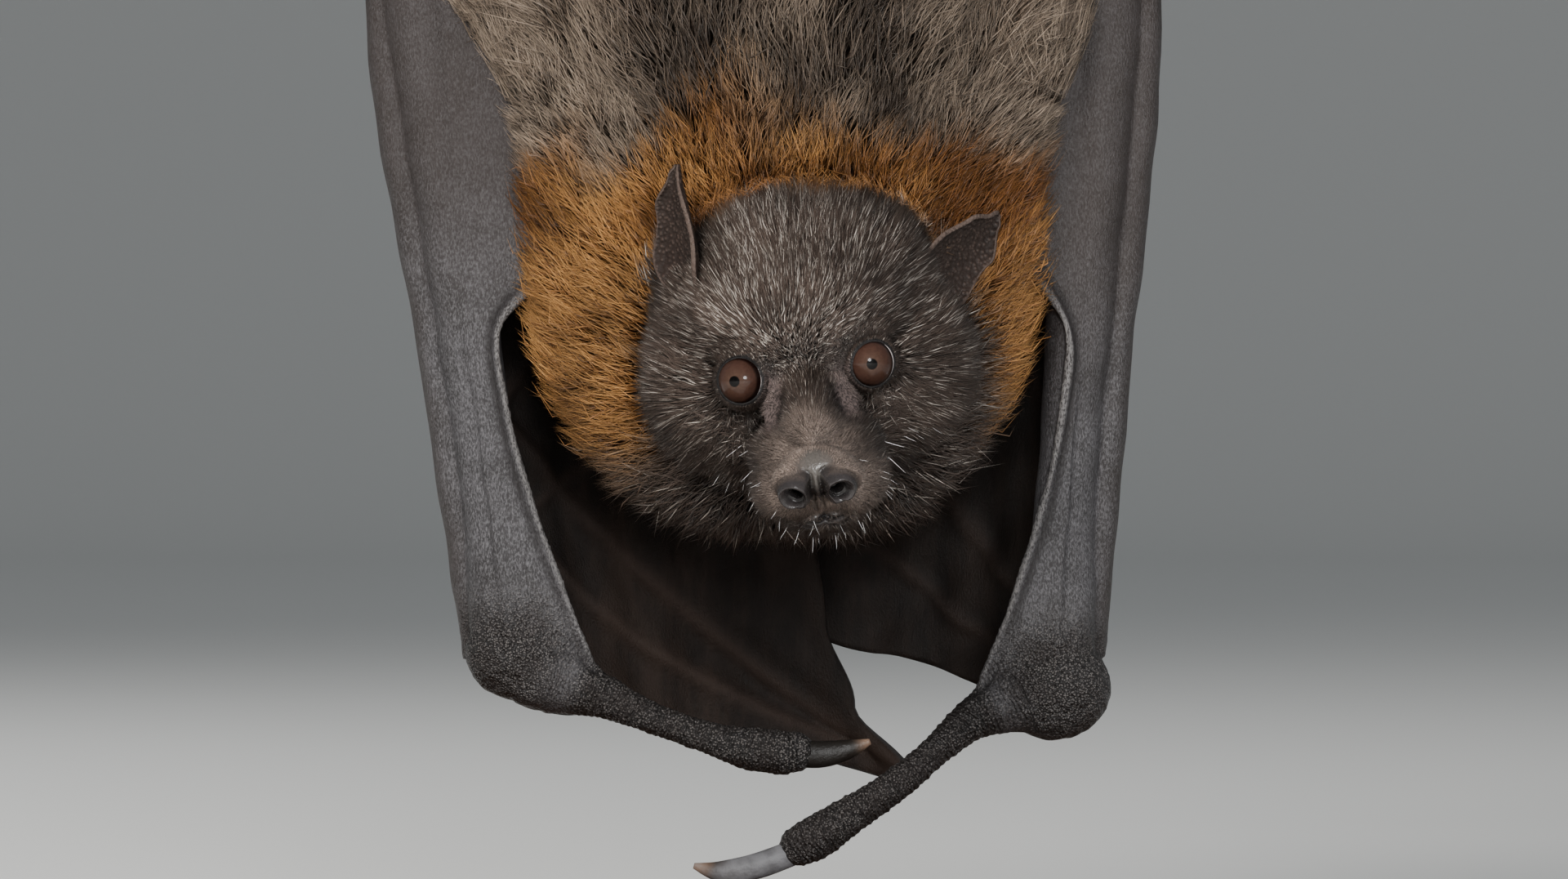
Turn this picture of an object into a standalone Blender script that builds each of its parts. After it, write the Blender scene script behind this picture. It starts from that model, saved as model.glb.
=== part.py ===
"""A fruit bat (a grey-headed flying fox) at rest, hanging by its feet from a branch on a display stand.

The bat hangs head down with its back towards -Y and its belly towards +Y, and lifts its head so that the face
looks along -Y. Its right side is at -X. +Z is up, and the origin is the middle of the stand's underside.
The solids reach out to the tips of the coat. Units are metres.
"""

import math

import bmesh
import bpy
from mathutils import Matrix, Vector

# ---------------------------------------------------------------- driving sizes
GAP = 0.0004                 # air between two solids that meet
MEMBRANE = 0.0011            # thickness of a wing membrane

BASE_SIZE = (0.410, 0.230, 0.016)
ROD_X, ROD_RADIUS, ROD_SIDES = 0.184, 0.0045, 12
BRANCH_CENTRE = Vector((0.0, 0.004, 0.431))
BRANCH_LENGTH, BRANCH_RADIUS = 0.400, 0.0130

FACE_ORIGIN = Vector((0.0044, -0.062, 0.1325))     # midway between the eyes
HEAD_PITCH, HEAD_ROLL, HEAD_YAW = math.radians(23.5), math.radians(-8.3), math.radians(-2.0)
EYE_SPACING, EYE_RADIUS = 0.0268, 0.0053
EAR_LENGTH, EAR_WIDTH = 0.029, 0.0165

SHOULDER_X, HIP_X = 0.036, 0.015
SIDES = {"right": -1, "left": 1}
ELBOW = {"right": Vector((-0.0785, 0.006, 0.234)), "left": Vector((0.0680, 0.006, 0.231))}
WRIST = {"right": Vector((-0.0570, 0.001, 0.0740)), "left": Vector((0.0565, 0.001, 0.0690))}
KNEE = Vector((0.0345, -0.006, 0.345))              # of the left leg; the right one mirrors it
ANKLE = Vector((0.022, -0.0145, 0.407))
TOES = 5


# ---------------------------------------------------------------- materials
def material(name, colour, roughness, metallic=0.0):
    made = bpy.data.materials.new(name)
    made.use_nodes = True
    shader = made.node_tree.nodes["Principled BSDF"]
    shader.inputs["Base Color"].default_value = (*colour, 1.0)
    shader.inputs["Roughness"].default_value = roughness
    shader.inputs["Metallic"].default_value = metallic
    return made


# ---------------------------------------------------------------- making meshes
def through(points, count):
    """A smooth (Catmull-Rom) run of count tuples through the points, which may hold radii after x, y, z."""
    run = []
    last = len(points) - 1
    for i in range(count):
        place = last * i / (count - 1)
        k = min(int(place), last - 1)
        t = place - k
        before, start = points[max(k - 1, 0)], points[k]
        end, after = points[k + 1], points[min(k + 2, last)]
        run.append(tuple(
            0.5 * (2 * b + (c - a) * t + (2 * a - 5 * b + 4 * c - d) * t * t + (3 * b - a - 3 * c + d) * t ** 3)
            for a, b, c, d in zip(before, start, end, after)))
    return run


def at(table, place):
    """The value at a place in a table of (place, value) pairs, eased between them."""
    for (low, first), (high, second) in zip(table, table[1:]):
        if place <= high:
            t = max(0.0, (place - low) / (high - low))
            t = t * t * (3 - 2 * t)
            return first + (second - first) * t
    return table[-1][1]


def tube(bm, stations, sides=10, width_axis=(1, 0, 0)):
    """A closed tube. A station is x, y, z, the half width along width_axis and the half depth across it."""
    rings = []
    centres = [Vector(s[:3]) for s in stations]
    for i, station in enumerate(stations):
        along = (centres[min(i + 1, len(centres) - 1)] - centres[max(i - 1, 0)]).normalized()
        wide = Vector(width_axis)
        wide = (wide - along * wide.dot(along)).normalized()
        deep = along.cross(wide)
        rings.append([
            bm.verts.new(centres[i] + wide * station[3] * math.cos(turn) + deep * station[4] * math.sin(turn))
            for turn in (math.tau * k / sides for k in range(sides))])
    for first, second in zip(rings, rings[1:]):
        for k in range(sides):
            bm.faces.new((first[k], first[(k + 1) % sides], second[(k + 1) % sides], second[k]))
    bm.faces.new(list(reversed(rings[0])))
    bm.faces.new(rings[-1])
    return bm


def ball(bm, centre, radii, place=Matrix.Identity(4), segments=32):
    """An ellipsoid with its half sizes along the axes of place."""
    shape = place @ Matrix.Translation(centre) @ Matrix.Diagonal((*radii, 1.0))
    bmesh.ops.create_uvsphere(bm, u_segments=segments, v_segments=segments * 5 // 8, radius=1.0, matrix=shape)


def blob(bm, centre, radii, place):
    """An ellipsoid on each side of the middle plane of place, or one where its centre is on that plane."""
    x, y, z = centre
    for side in ((1, -1) if x else (1,)):
        ball(bm, (side * x, y, z), radii, place)


def evaluated(obj):
    """The bmesh of an object as its modifiers leave it; the object is then removed."""
    graph = bpy.context.evaluated_depsgraph_get()
    mesh = bpy.data.meshes.new_from_object(obj.evaluated_get(graph))
    bpy.data.objects.remove(obj)
    bm = bmesh.new()
    bm.from_mesh(mesh)
    bpy.data.meshes.remove(mesh)
    return bm


def melded(bm, voxel, rounds, triangles):
    """Overlapping closed shapes made into one soft skin of about that many triangles."""
    mesh = bpy.data.meshes.new("meld")
    bm.to_mesh(mesh)
    obj = bpy.data.objects.new("meld", mesh)
    bpy.context.scene.collection.objects.link(obj)
    remesh = obj.modifiers.new("voxels", "REMESH")
    remesh.mode = "VOXEL"
    remesh.voxel_size = voxel
    soften = obj.modifiers.new("soften", "SMOOTH")
    soften.factor, soften.iterations = 0.5, rounds
    whole = evaluated(obj)
    bmesh.ops.triangulate(whole, faces=whole.faces[:])
    mesh = bpy.data.meshes.new("meld")
    whole.to_mesh(mesh)
    obj = bpy.data.objects.new("meld", mesh)
    bpy.context.scene.collection.objects.link(obj)
    fewer = obj.modifiers.new("fewer", "DECIMATE")
    fewer.ratio = triangles / len(mesh.polygons)
    return evaluated(obj)


def half(bm, point, normal):
    """What lies on the normal's side of a plane, half a gap away from it, with the cut closed."""
    piece = bm.copy()
    normal = Vector(normal).normalized()
    everything = piece.verts[:] + piece.edges[:] + piece.faces[:]
    bmesh.ops.bisect_plane(piece, geom=everything, dist=1e-7, clear_inner=True,
                           plane_co=Vector(point) + normal * GAP / 2, plane_no=normal)
    rim = [edge for edge in piece.edges if edge.is_boundary]
    bmesh.ops.holes_fill(piece, edges=rim, sides=0)
    bmesh.ops.triangulate(piece, faces=[face for face in piece.faces if len(face.verts) > 4])
    bmesh.ops.recalc_face_normals(piece, faces=piece.faces[:])
    return piece


def part(name, bm, look, smooth_angle=50.0):
    """A named object of the model."""
    bmesh.ops.recalc_face_normals(bm, faces=bm.faces[:])
    mesh = bpy.data.meshes.new(name)
    bm.to_mesh(mesh)
    bm.free()
    mesh.materials.append(look)
    mesh.shade_smooth()
    mesh.set_sharp_from_angle(angle=math.radians(smooth_angle))
    obj = bpy.data.objects.new(name, mesh)
    bpy.context.scene.collection.objects.link(obj)
    return obj


def as_cutter(obj):
    obj.hide_render = True
    obj.display_type = "WIRE"
    return obj


def cut_by(obj, cutter, solver="EXACT"):
    cut = obj.modifiers.new("cut", "BOOLEAN")
    cut.operation = "DIFFERENCE"
    cut.solver = solver
    cut.object = cutter


def clear_of(obj, *others):
    """Cuts obj back to a gap away from the other objects, which keep their shape. A swollen skin may cross
    itself a little, and there the EXACT solver loses thin sheets."""
    for other in others:
        grown = bpy.data.objects.new(f"room_{other.name}_{obj.name}", other.data)
        bpy.context.scene.collection.objects.link(as_cutter(grown))
        for source in other.modifiers:
            copy = grown.modifiers.new(source.name, source.type)
            copy.operation, copy.solver, copy.object = source.operation, source.solver, source.object
        swell = grown.modifiers.new("swell", "DISPLACE")
        swell.strength, swell.mid_level = GAP, 0.0
        cut_by(obj, grown, solver="MANIFOLD")


def sheet(surface, across, along, thickness):
    """A closed thin shell about surface(u, v), with u and v from 0 to 1."""
    bm = bmesh.new()
    tiny = 1e-3
    layers = ([], [])
    for i in range(across + 1):
        rows = ([], [])
        for j in range(along + 1):
            u, v = i / across, j / along
            here = surface(u, v)
            du = surface(min(u + tiny, 1), v) - surface(max(u - tiny, 0), v)
            dv = surface(u, min(v + tiny, 1)) - surface(u, max(v - tiny, 0))
            out = du.cross(dv).normalized() * thickness / 2
            rows[0].append(bm.verts.new(here + out))
            rows[1].append(bm.verts.new(here - out))
        layers[0].append(rows[0])
        layers[1].append(rows[1])
    for i in range(across):
        for j in range(along):
            for grid in layers:
                bm.faces.new((grid[i][j], grid[i + 1][j], grid[i + 1][j + 1], grid[i][j + 1]))
    top, under = layers
    rim = [(i, 0) for i in range(across)] + [(across, j) for j in range(along)]
    rim += [(i, along) for i in range(across, 0, -1)] + [(0, j) for j in range(along, 0, -1)]
    for (i, j), (k, m) in zip(rim, rim[1:] + rim[:1]):
        bm.faces.new((top[i][j], top[k][m], under[k][m], under[i][j]))
    bmesh.ops.recalc_face_normals(bm, faces=bm.faces[:])
    return bm


def turned(profile, centre, sides):
    """A solid of revolution about +Z. The profile's (radius, height) pairs run from the axis to the axis."""
    bm = bmesh.new()
    verts = [bm.verts.new((radius, 0, height)) for radius, height in profile]
    edges = [bm.edges.new(pair) for pair in zip(verts, verts[1:])]
    bmesh.ops.spin(bm, geom=verts + edges, axis=(0, 0, 1), cent=(0, 0, 0), angle=math.tau, steps=sides,
                   use_merge=True)
    bmesh.ops.remove_doubles(bm, verts=bm.verts[:], dist=1e-6)
    bmesh.ops.translate(bm, verts=bm.verts[:], vec=centre)
    return bm


# ---------------------------------------------------------------- the body in its coat
def head_place():
    """The head's own frame: +X to the left ear, -Y to the nose, +Z to the crown, from between the eyes."""
    return (Matrix.Translation(FACE_ORIGIN) @ Matrix.Rotation(HEAD_ROLL, 4, "Y")
            @ Matrix.Rotation(HEAD_YAW, 4, "Z") @ Matrix.Rotation(HEAD_PITCH, 4, "X"))


def add_head(bm, head):
    blob(bm, (0, 0.027, 0.006), (0.0330, 0.0250, 0.0245), head)         # crown
    blob(bm, (0, 0.011, 0.0065), (0.0225, 0.0190, 0.0165), head)        # forehead
    blob(bm, (0.0180, 0.018, -0.008), (0.0198, 0.0190, 0.0215), head)   # cheek
    blob(bm, (0, 0.014, -0.018), (0.0270, 0.0210, 0.0195), head)        # throat
    blob(bm, (0.0090, 0.005, 0.0065), (0.0090, 0.0080, 0.0065), head)   # brow
    blob(bm, (0, -0.009, -0.0040), (0.0072, 0.0170, 0.0062), head)      # bridge of the nose
    blob(bm, (0, -0.011, -0.0105), (0.0118, 0.0175, 0.0090), head)      # muzzle
    blob(bm, (0, -0.0235, -0.0115), (0.0090, 0.0080, 0.0068), head)     # front of the upper lip
    blob(bm, (0.0052, -0.0210, -0.0130), (0.0070, 0.0090, 0.0064), head)  # whisker pad
    blob(bm, (0, -0.0180, -0.0192), (0.0080, 0.0105, 0.0046), head)     # chin
    blob(bm, (0, -0.002, -0.0195), (0.0155, 0.0160, 0.0100), head)      # lower jaw
    blob(bm, (0, -0.0290, -0.0085), (0.0074, 0.0046, 0.0050), head)     # nose pad
    blob(bm, (0.0050, -0.0318, -0.0092), (0.0038, 0.0040, 0.0040), head)  # nostril


def add_trunk(bm):
    """Rump, back and chest, and the mantle of long fur round the neck. Stations run from the rump down."""
    stations = through([
        (0.0, 0.000, 0.3215, 0.012, 0.010),
        (0.0, 0.000, 0.3140, 0.029, 0.024),
        (0.0, 0.001, 0.292, 0.038, 0.031),
        (0.0, 0.002, 0.255, 0.043, 0.035),
        (0.0, 0.001, 0.215, 0.049, 0.037),
        (0.0, -0.002, 0.180, 0.053, 0.036),
        (0.0, -0.005, 0.145, 0.053, 0.032),
        (0.0, -0.006, 0.118, 0.042, 0.026),
        (0.0, -0.006, 0.102, 0.022, 0.013)], 25)
    tube(bm, stations, sides=32)
    ball(bm, (0, -0.007, 0.1415), (0.0560, 0.0330, 0.0455))


def add_upper_arm(bm, side):
    sign, elbow = SIDES[side], ELBOW[side]
    tube(bm, through([
        (sign * SHOULDER_X, -0.004, 0.178, 0.015, 0.018),
        (sign * 0.050, -0.003, 0.202, 0.0125, 0.015),
        (elbow.x - sign * 0.013, 0.002, elbow.z - 0.014, 0.0095, 0.011),
        (elbow.x, elbow.y, elbow.z, 0.0080, 0.0090),
        (elbow.x + sign * 0.002, elbow.y, elbow.z + 0.006, 0.004, 0.005)], 12), sides=20)


def add_leg(bm, side):
    sign = SIDES[side]
    tube(bm, through([
        (sign * HIP_X, 0.002, 0.296, 0.017, 0.018),
        (sign * 0.027, -0.001, 0.323, 0.0135, 0.0150),
        (sign * KNEE.x, KNEE.y, KNEE.z, 0.0098, 0.0108),
        (sign * 0.030, -0.0105, 0.374, 0.0074, 0.0078),
        (sign * ANKLE.x, ANKLE.y, ANKLE.z, 0.0048, 0.0045),
        (sign * 0.0215, -0.0155, 0.413, 0.0030, 0.0028)], 20), sides=20)


def elbow_way(side):
    """The way from forearm to upper arm at the elbow, square to the plane between them."""
    shoulder = Vector((SIDES[side] * SHOULDER_X, 0, 0.178))
    between = ((shoulder - ELBOW[side]).normalized() + (WRIST[side] - ELBOW[side]).normalized())
    way = Vector((-between.z, 0, between.x))
    return way if way.dot(shoulder - ELBOW[side]) > 0 else -way


def make_body(head_fur, mantle, fur, leg_fur):
    """The whole furred body as one skin, parted into head, neck, trunk, upper arms and legs."""
    head = head_place()
    bm = bmesh.new()
    add_head(bm, head)
    add_trunk(bm)
    for side in SIDES:
        add_upper_arm(bm, side)
        add_leg(bm, side)
    whole = melded(bm, voxel=0.0014, rounds=7, triangles=1750)
    look = (head.to_3x3() @ Vector((0, -1, 0))).normalized()
    collar = head @ Vector((0, 0.031, 0.0))
    front = half(whole, collar, look)
    rest = half(whole, collar, -look)
    made = {"head": part("head", front, head_fur)}
    neck_top, neck_way = Vector((0, 0, 0.186)), Vector((0, -0.12, -1))
    made["neck"] = part("neck", half(rest, neck_top, neck_way), mantle)
    rest = half(rest, neck_top, -neck_way)
    groin, up = Vector((0, 0, 0.3225)), Vector((0, 0, 1))
    legs = half(rest, groin, up)
    rest = half(rest, groin, -up)
    for side, sign in SIDES.items():
        armpit, out = Vector((sign * 0.0480, 0, 0.200)), Vector((sign * 1.0, 0, -0.10))
        arm = half(rest, armpit, out)
        made[f"upper_arm_{side}"] = part(f"upper_arm_{side}", half(arm, ELBOW[side], elbow_way(side)), fur)
        rest = half(rest, armpit, -out)
        knee = Vector((sign * KNEE.x, KNEE.y, KNEE.z))
        leg = half(legs, Vector(), (sign, 0, 0))
        made[f"thigh_{side}"] = part(f"thigh_{side}", half(leg, knee, (sign * 0.2, 0, -1)), leg_fur)
        shank = half(half(leg, knee, (sign * -0.2, 0, 1)), ANKLE, (0, 0, -1))
        made[f"shank_{side}"] = part(f"shank_{side}", shank, leg_fur)
    made["trunk"] = part("trunk", rest, fur)
    return made


def make_face(made, eye_look):
    """The eyes and what is cut into the head: eye sockets, nostrils and the line of the mouth."""
    head = head_place()
    for side, sign in SIDES.items():
        centre = (sign * EYE_SPACING / 2, 0.0016, 0.0)
        bm = bmesh.new()
        bmesh.ops.create_uvsphere(bm, u_segments=10, v_segments=7, radius=EYE_RADIUS,
                                  matrix=head @ Matrix.Translation(centre))
        made[f"eye_{side}"] = part(f"eye_{side}", bm, eye_look)
        socket = bmesh.new()
        ball(socket, centre, (EYE_RADIUS + GAP,) * 3, head, segments=16)
        cut_by(made["head"], as_cutter(part(f"socket_{side}", socket, eye_look)))
        nostril = bmesh.new()
        ball(nostril, (sign * 0.0056, -0.0354, -0.0095), (0.0017, 0.0030, 0.0019), head, segments=10)
        cut_by(made["head"], as_cutter(part(f"nostril_{side}", nostril, eye_look)))
    mouth = bmesh.new()
    tube(mouth, [(x, y, z, 0.0030, 0.0004) for x, y, z in (
        head @ Vector((sideways, -0.0272 + 55 * sideways ** 2, -0.0168 - 6 * sideways ** 2))
        for sideways in (-0.0095, -0.0055, 0.0, 0.0055, 0.0095))],
         sides=4, width_axis=head.to_3x3() @ Vector((0, 1, 0)))
    cut_by(made["head"], as_cutter(part("mouth_line", mouth, eye_look)))


def make_ears(made, look):
    """Pointed leaves, cupped about their middle line. The right ear stands up, the left is laid back."""
    roots = {"right": Vector((-0.0195, -0.0480, 0.1490)), "left": Vector((0.0300, -0.0410, 0.1520))}
    tips = {"right": Vector((-0.0213, -0.0500, 0.1745)), "left": Vector((0.0435, -0.0310, 0.1655))}
    opens = {"right": Vector((-0.86, -0.50, 0.0)), "left": Vector((0.45, -0.80, -0.40))}
    for side in SIDES:
        axis = (tips[side] - roots[side]).normalized()
        face = (opens[side] - axis * opens[side].dot(axis)).normalized()
        across = axis.cross(face)
        root = tips[side] - axis * EAR_LENGTH

        def leaf(u, v, root=root, axis=axis, face=face, across=across):
            spread = 2 * u - 1
            wide = EAR_WIDTH / 2 * at([(0, 0.62), (0.35, 1.0), (0.7, 0.72), (0.93, 0.22), (1, 0.07)], v)
            bend = 1.15 * spread
            return (root + axis * EAR_LENGTH * v + across * wide * math.sin(bend) / math.sin(1.15)
                    + face * wide * 0.8 * (1 - math.cos(bend)) - face * 0.003 * (1 - v) ** 2)

        made[f"ear_{side}"] = part(f"ear_{side}", sheet(leaf, 5, 7, 0.0013), look)
        clear_of(made[f"ear_{side}"], made["head"], made["neck"])


# ---------------------------------------------------------------- the wings
LEADING_EDGE = {             # x, y, z from the shoulder to the base of the thumb
    "right": [(-0.0500, -0.006, 0.1530), (-0.0588, -0.006, 0.1430), (-0.0575, -0.006, 0.1270),
              (-0.0535, -0.006, 0.1110), (-0.0465, -0.005, 0.0910), (-0.0385, -0.003, 0.0710)],
    "left": [(0.0500, -0.006, 0.1560), (0.0585, -0.006, 0.1430), (0.0578, -0.006, 0.1270),
             (0.0540, -0.006, 0.1080), (0.0475, -0.005, 0.0870), (0.0400, -0.003, 0.0680)]}
THUMB = {                    # x, y, z and half thickness, from the wrist to the knuckle of the claw
    "right": [(-0.0470, 0.000, 0.0700, 0.0080), (-0.0374, -0.003, 0.0662, 0.0046),
              (-0.0272, -0.006, 0.0617, 0.0033), (-0.0170, -0.008, 0.0583, 0.0033),
              (-0.0085, -0.009, 0.0560, 0.0043), (0.0000, -0.010, 0.0548, 0.0045),
              (0.0028, -0.010, 0.0550, 0.0030)],
    "left": [(0.0480, 0.000, 0.0660, 0.0080), (0.0395, -0.003, 0.0617, 0.0045),
             (0.0323, -0.006, 0.0559, 0.0033), (0.0238, -0.009, 0.0486, 0.0034),
             (0.0153, -0.011, 0.0430, 0.0037), (0.0068, -0.013, 0.0376, 0.0046),
             (0.0017, -0.013, 0.0350, 0.0040)]}
THUMB_CLAW = {
    "right": [(0.0026, -0.0102, 0.0547, 0.0033), (0.0075, -0.0106, 0.0545, 0.0030),
              (0.0130, -0.0108, 0.0555, 0.0021), (0.0178, -0.0108, 0.0572, 0.0007)],
    "left": [(0.0004, -0.0134, 0.0338, 0.0032), (-0.0060, -0.0140, 0.0316, 0.0029),
             (-0.0130, -0.0144, 0.0306, 0.0022), (-0.0186, -0.0146, 0.0318, 0.0007)]}
# The cloak: how far the wing wraps round the body, as an angle from the bat's side, against height
WRAP_FROM, BUNDLE_AT = math.radians(11), math.radians(3)
WRAP_TO = {
    "right": [(0.047, 116), (0.062, 104), (0.080, 98), (0.105, 95), (0.150, 80), (0.200, 62), (0.260, 54),
              (0.400, 62)],
    "left": [(0.060, 96), (0.095, 118), (0.115, 113), (0.150, 94), (0.200, 66), (0.260, 54), (0.400, 62)]}
HEM = {                      # height of the cloak's lower edge against that angle
    "right": [(14, 0.0680), (50, 0.0605), (85, 0.0535), (116, 0.0450)],
    "left": [(14, 0.0610), (50, 0.0655), (80, 0.0730), (118, 0.0930)]}
CLOAK_WIDTH = {              # half width of the cloak against height
    "right": [(0.045, 0.0610), (0.078, 0.0650), (0.112, 0.0698), (0.153, 0.0758), (0.190, 0.0832),
              (0.225, 0.0868), (0.300, 0.0720), (0.345, 0.0560), (0.392, 0.0310)],
    "left": [(0.045, 0.0600), (0.078, 0.0652), (0.110, 0.0676), (0.150, 0.0712), (0.190, 0.0756),
             (0.225, 0.0770), (0.300, 0.0665), (0.345, 0.0545), (0.392, 0.0310)]}
CLOAK_DEPTH = [(0.045, 0.050), (0.200, 0.050), (0.300, 0.046), (0.392, 0.020)]
CLOAK_TOP, KNUCKLES_Z = 0.388, 0.190
LAYER = {"right": 0.0, "left": 0.006}       # the left wing lies over the right one


def cloak_point(side, angle, height):
    """A point of the wing wrapped round the belly."""
    sign = SIDES[side]
    deep = at(CLOAK_DEPTH, height) + LAYER[side] * math.sin(angle)
    middle = 0.004 if height < 0.300 else 0.004 - 0.012 * (height - 0.300) / 0.092
    wide = at(CLOAK_WIDTH[side], height)
    return Vector((sign * wide * math.cos(angle), middle + deep * math.sin(angle), height))


def cloak(side, low, high):
    """The cloak's surface between two levels: u goes round the body and v goes up."""
    def surface(u, v):
        bottom, top = max(low, at(HEM[side], 14 + 100 * u) if low == 0 else low), high
        if high == CLOAK_TOP:
            top = CLOAK_TOP - 0.050 * u * u
        height = bottom + (top - bottom) * v
        reach = math.radians(at(WRAP_TO[side], height))
        return cloak_point(side, WRAP_FROM + (reach - WRAP_FROM) * u, height)
    return surface


def make_arm(made, side, skin, claw_look):
    """Forearm, wrist and thumb as one skin, parted at the thumb and the elbow, and the thumb's claw."""
    sign, elbow, wrist = SIDES[side], ELBOW[side], WRIST[side]
    bm = bmesh.new()
    bend = elbow.lerp(wrist, 0.35)
    slim = elbow.lerp(wrist, 0.75)
    tube(bm, through([
        (elbow.x + sign * 0.001, elbow.y, elbow.z + 0.005, 0.0040, 0.0045),
        (elbow.x, elbow.y, elbow.z - 0.004, 0.0085, 0.0085),
        (bend.x, bend.y, bend.z, 0.0078, 0.0085),
        (slim.x - sign * 0.0005, slim.y, slim.z, 0.0062, 0.0064),
        (wrist.x, wrist.y, wrist.z + 0.006, 0.0085, 0.0070),
        (wrist.x, wrist.y, wrist.z - 0.004, 0.0070, 0.0055)], 22), sides=20)
    ball(bm, wrist + Vector((sign * -0.0005, 0.001, -0.001)), (0.0124, 0.0090, 0.0112))
    tube(bm, through([(x, y, z, r, r) for x, y, z, r in THUMB[side]], 26), sides=16, width_axis=(0, 1, 0))
    whole = melded(bm, voxel=0.0009, rounds=5, triangles=430)
    ball_of_thumb, way = Vector(THUMB[side][1][:3]), Vector((-sign, 0, -0.55))
    thumb = half(whole, ball_of_thumb, way)
    forearm = half(half(whole, ball_of_thumb, -way), elbow, -elbow_way(side))
    made[f"forearm_{side}"] = part(f"forearm_{side}", forearm, skin)
    made[f"thumb_{side}"] = part(f"thumb_{side}", thumb, skin)
    claw = tube(bmesh.new(), through([(x, y, z, r * 0.62, r) for x, y, z, r in THUMB_CLAW[side]], 6), sides=6,
                width_axis=(0, 1, 0))
    made[f"thumb_claw_{side}"] = part(f"thumb_claw_{side}", claw, claw_look)
    clear_of(made[f"thumb_claw_{side}"], made[f"thumb_{side}"])


def make_fingers(made, side, skin, claw_look):
    """The bundle of long hand bones lies along the forearm, with the small claw of the second finger."""
    sign = SIDES[side]
    stations = []
    for height, thin, deep in ((0.076, 0.0034, 0.0042), (0.100, 0.0037, 0.0050), (0.140, 0.0038, 0.0052),
                               (0.175, 0.0040, 0.0050), (0.187, 0.0042, 0.0050), (0.1945, 0.0020, 0.0026)):
        spot = cloak_point(side, BUNDLE_AT, height)
        stations.append((spot.x - sign * 0.0010, spot.y, height, thin, deep))
    bundle = part(f"fingers_{side}", tube(bmesh.new(), through(stations, 8), sides=8), skin)
    clear_of(bundle, made[f"forearm_{side}"])
    made[f"fingers_{side}"] = bundle
    knuckle = Vector(stations[-1][:3])
    claw = tube(bmesh.new(), through([
        (knuckle.x, knuckle.y, knuckle.z + 0.0004, 0.0012, 0.0013),
        (knuckle.x + sign * 0.0006, knuckle.y - 0.0004, knuckle.z + 0.0040, 0.0010, 0.0011),
        (knuckle.x + sign * 0.0026, knuckle.y - 0.0008, knuckle.z + 0.0070, 0.0004, 0.0004)], 5), sides=5)
    made[f"finger_claw_{side}"] = part(f"finger_claw_{side}", claw, claw_look)
    clear_of(made[f"finger_claw_{side}"], bundle, made[f"forearm_{side}"])


def make_membranes(made, side, skin):
    """The front web from forearm to shoulder, the cloak in two lengths, and the web from flank to ankle."""
    sign, elbow, wrist = SIDES[side], ELBOW[side], WRIST[side]
    edge, bundle = LEADING_EDGE[side], made[f"fingers_{side}"]
    inner = through(list(reversed(edge)) + [
        (sign * 0.0480, -0.006, 0.176), (sign * 0.0550, -0.004, 0.190)], 31)
    outer = [tuple(wrist.lerp(elbow, -0.02 + 0.84 * k / 30) + Vector((0, -0.002, 0))) for k in range(31)]

    def web(u, v):
        place = v * 30
        k = min(int(place), 29)
        t = place - k
        first = Vector(inner[k]).lerp(Vector(inner[k + 1]), t)
        second = Vector(outer[k]).lerp(Vector(outer[k + 1]), t)
        return first.lerp(second, u) + Vector((0, 0.0030 * math.sin(math.pi * u), 0))

    front = part(f"front_web_{side}", sheet(web, 2, 12, MEMBRANE), skin)
    clear_of(front, made[f"forearm_{side}"], made["neck"], made["trunk"], made[f"upper_arm_{side}"])
    made[f"front_web_{side}"] = front

    hand = part(f"hand_web_{side}", sheet(cloak(side, 0, KNUCKLES_Z), 10, 6, MEMBRANE), skin)
    clear_of(hand, bundle, made[f"forearm_{side}"])
    made[f"hand_web_{side}"] = hand
    arm = part(f"arm_web_{side}", sheet(cloak(side, KNUCKLES_Z + GAP, CLOAK_TOP), 6, 8, MEMBRANE), skin)
    clear_of(arm, bundle, made[f"forearm_{side}"], made[f"upper_arm_{side}"],
             made[f"finger_claw_{side}"], made[f"shank_{side}"])
    made[f"arm_web_{side}"] = arm

    def flank(u, v):
        low, top = 0.206 + 0.036 * u, CLOAK_TOP - 0.010
        height = low + (top - low) * v
        body = Vector((sign * at([(0.20, 0.044), (0.27, 0.037), (0.33, 0.036), (0.388, 0.026)], height),
                       -0.002 - 0.010 * at([(0.30, 0), (0.388, 1)], height), height))
        hem = cloak_point(side, WRAP_FROM, height) - Vector((sign * 0.0012, 0.0016, 0))
        return body.lerp(hem, u)

    web = part(f"flank_web_{side}", sheet(flank, 3, 7, MEMBRANE), skin)
    clear_of(web, made["trunk"], made[f"upper_arm_{side}"], made[f"thigh_{side}"], made[f"shank_{side}"],
             made[f"forearm_{side}"], bundle, arm)
    made[f"flank_web_{side}"] = web


# ---------------------------------------------------------------- the feet
def round_branch(x, turn, off):
    """A point a distance off the branch's surface; turn is 180 in front of it, 90 on top and 0 behind."""
    reach = BRANCH_RADIUS + off
    return Vector((x, BRANCH_CENTRE.y + reach * math.cos(math.radians(turn)),
                   BRANCH_CENTRE.z + reach * math.sin(math.radians(turn))))


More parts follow.
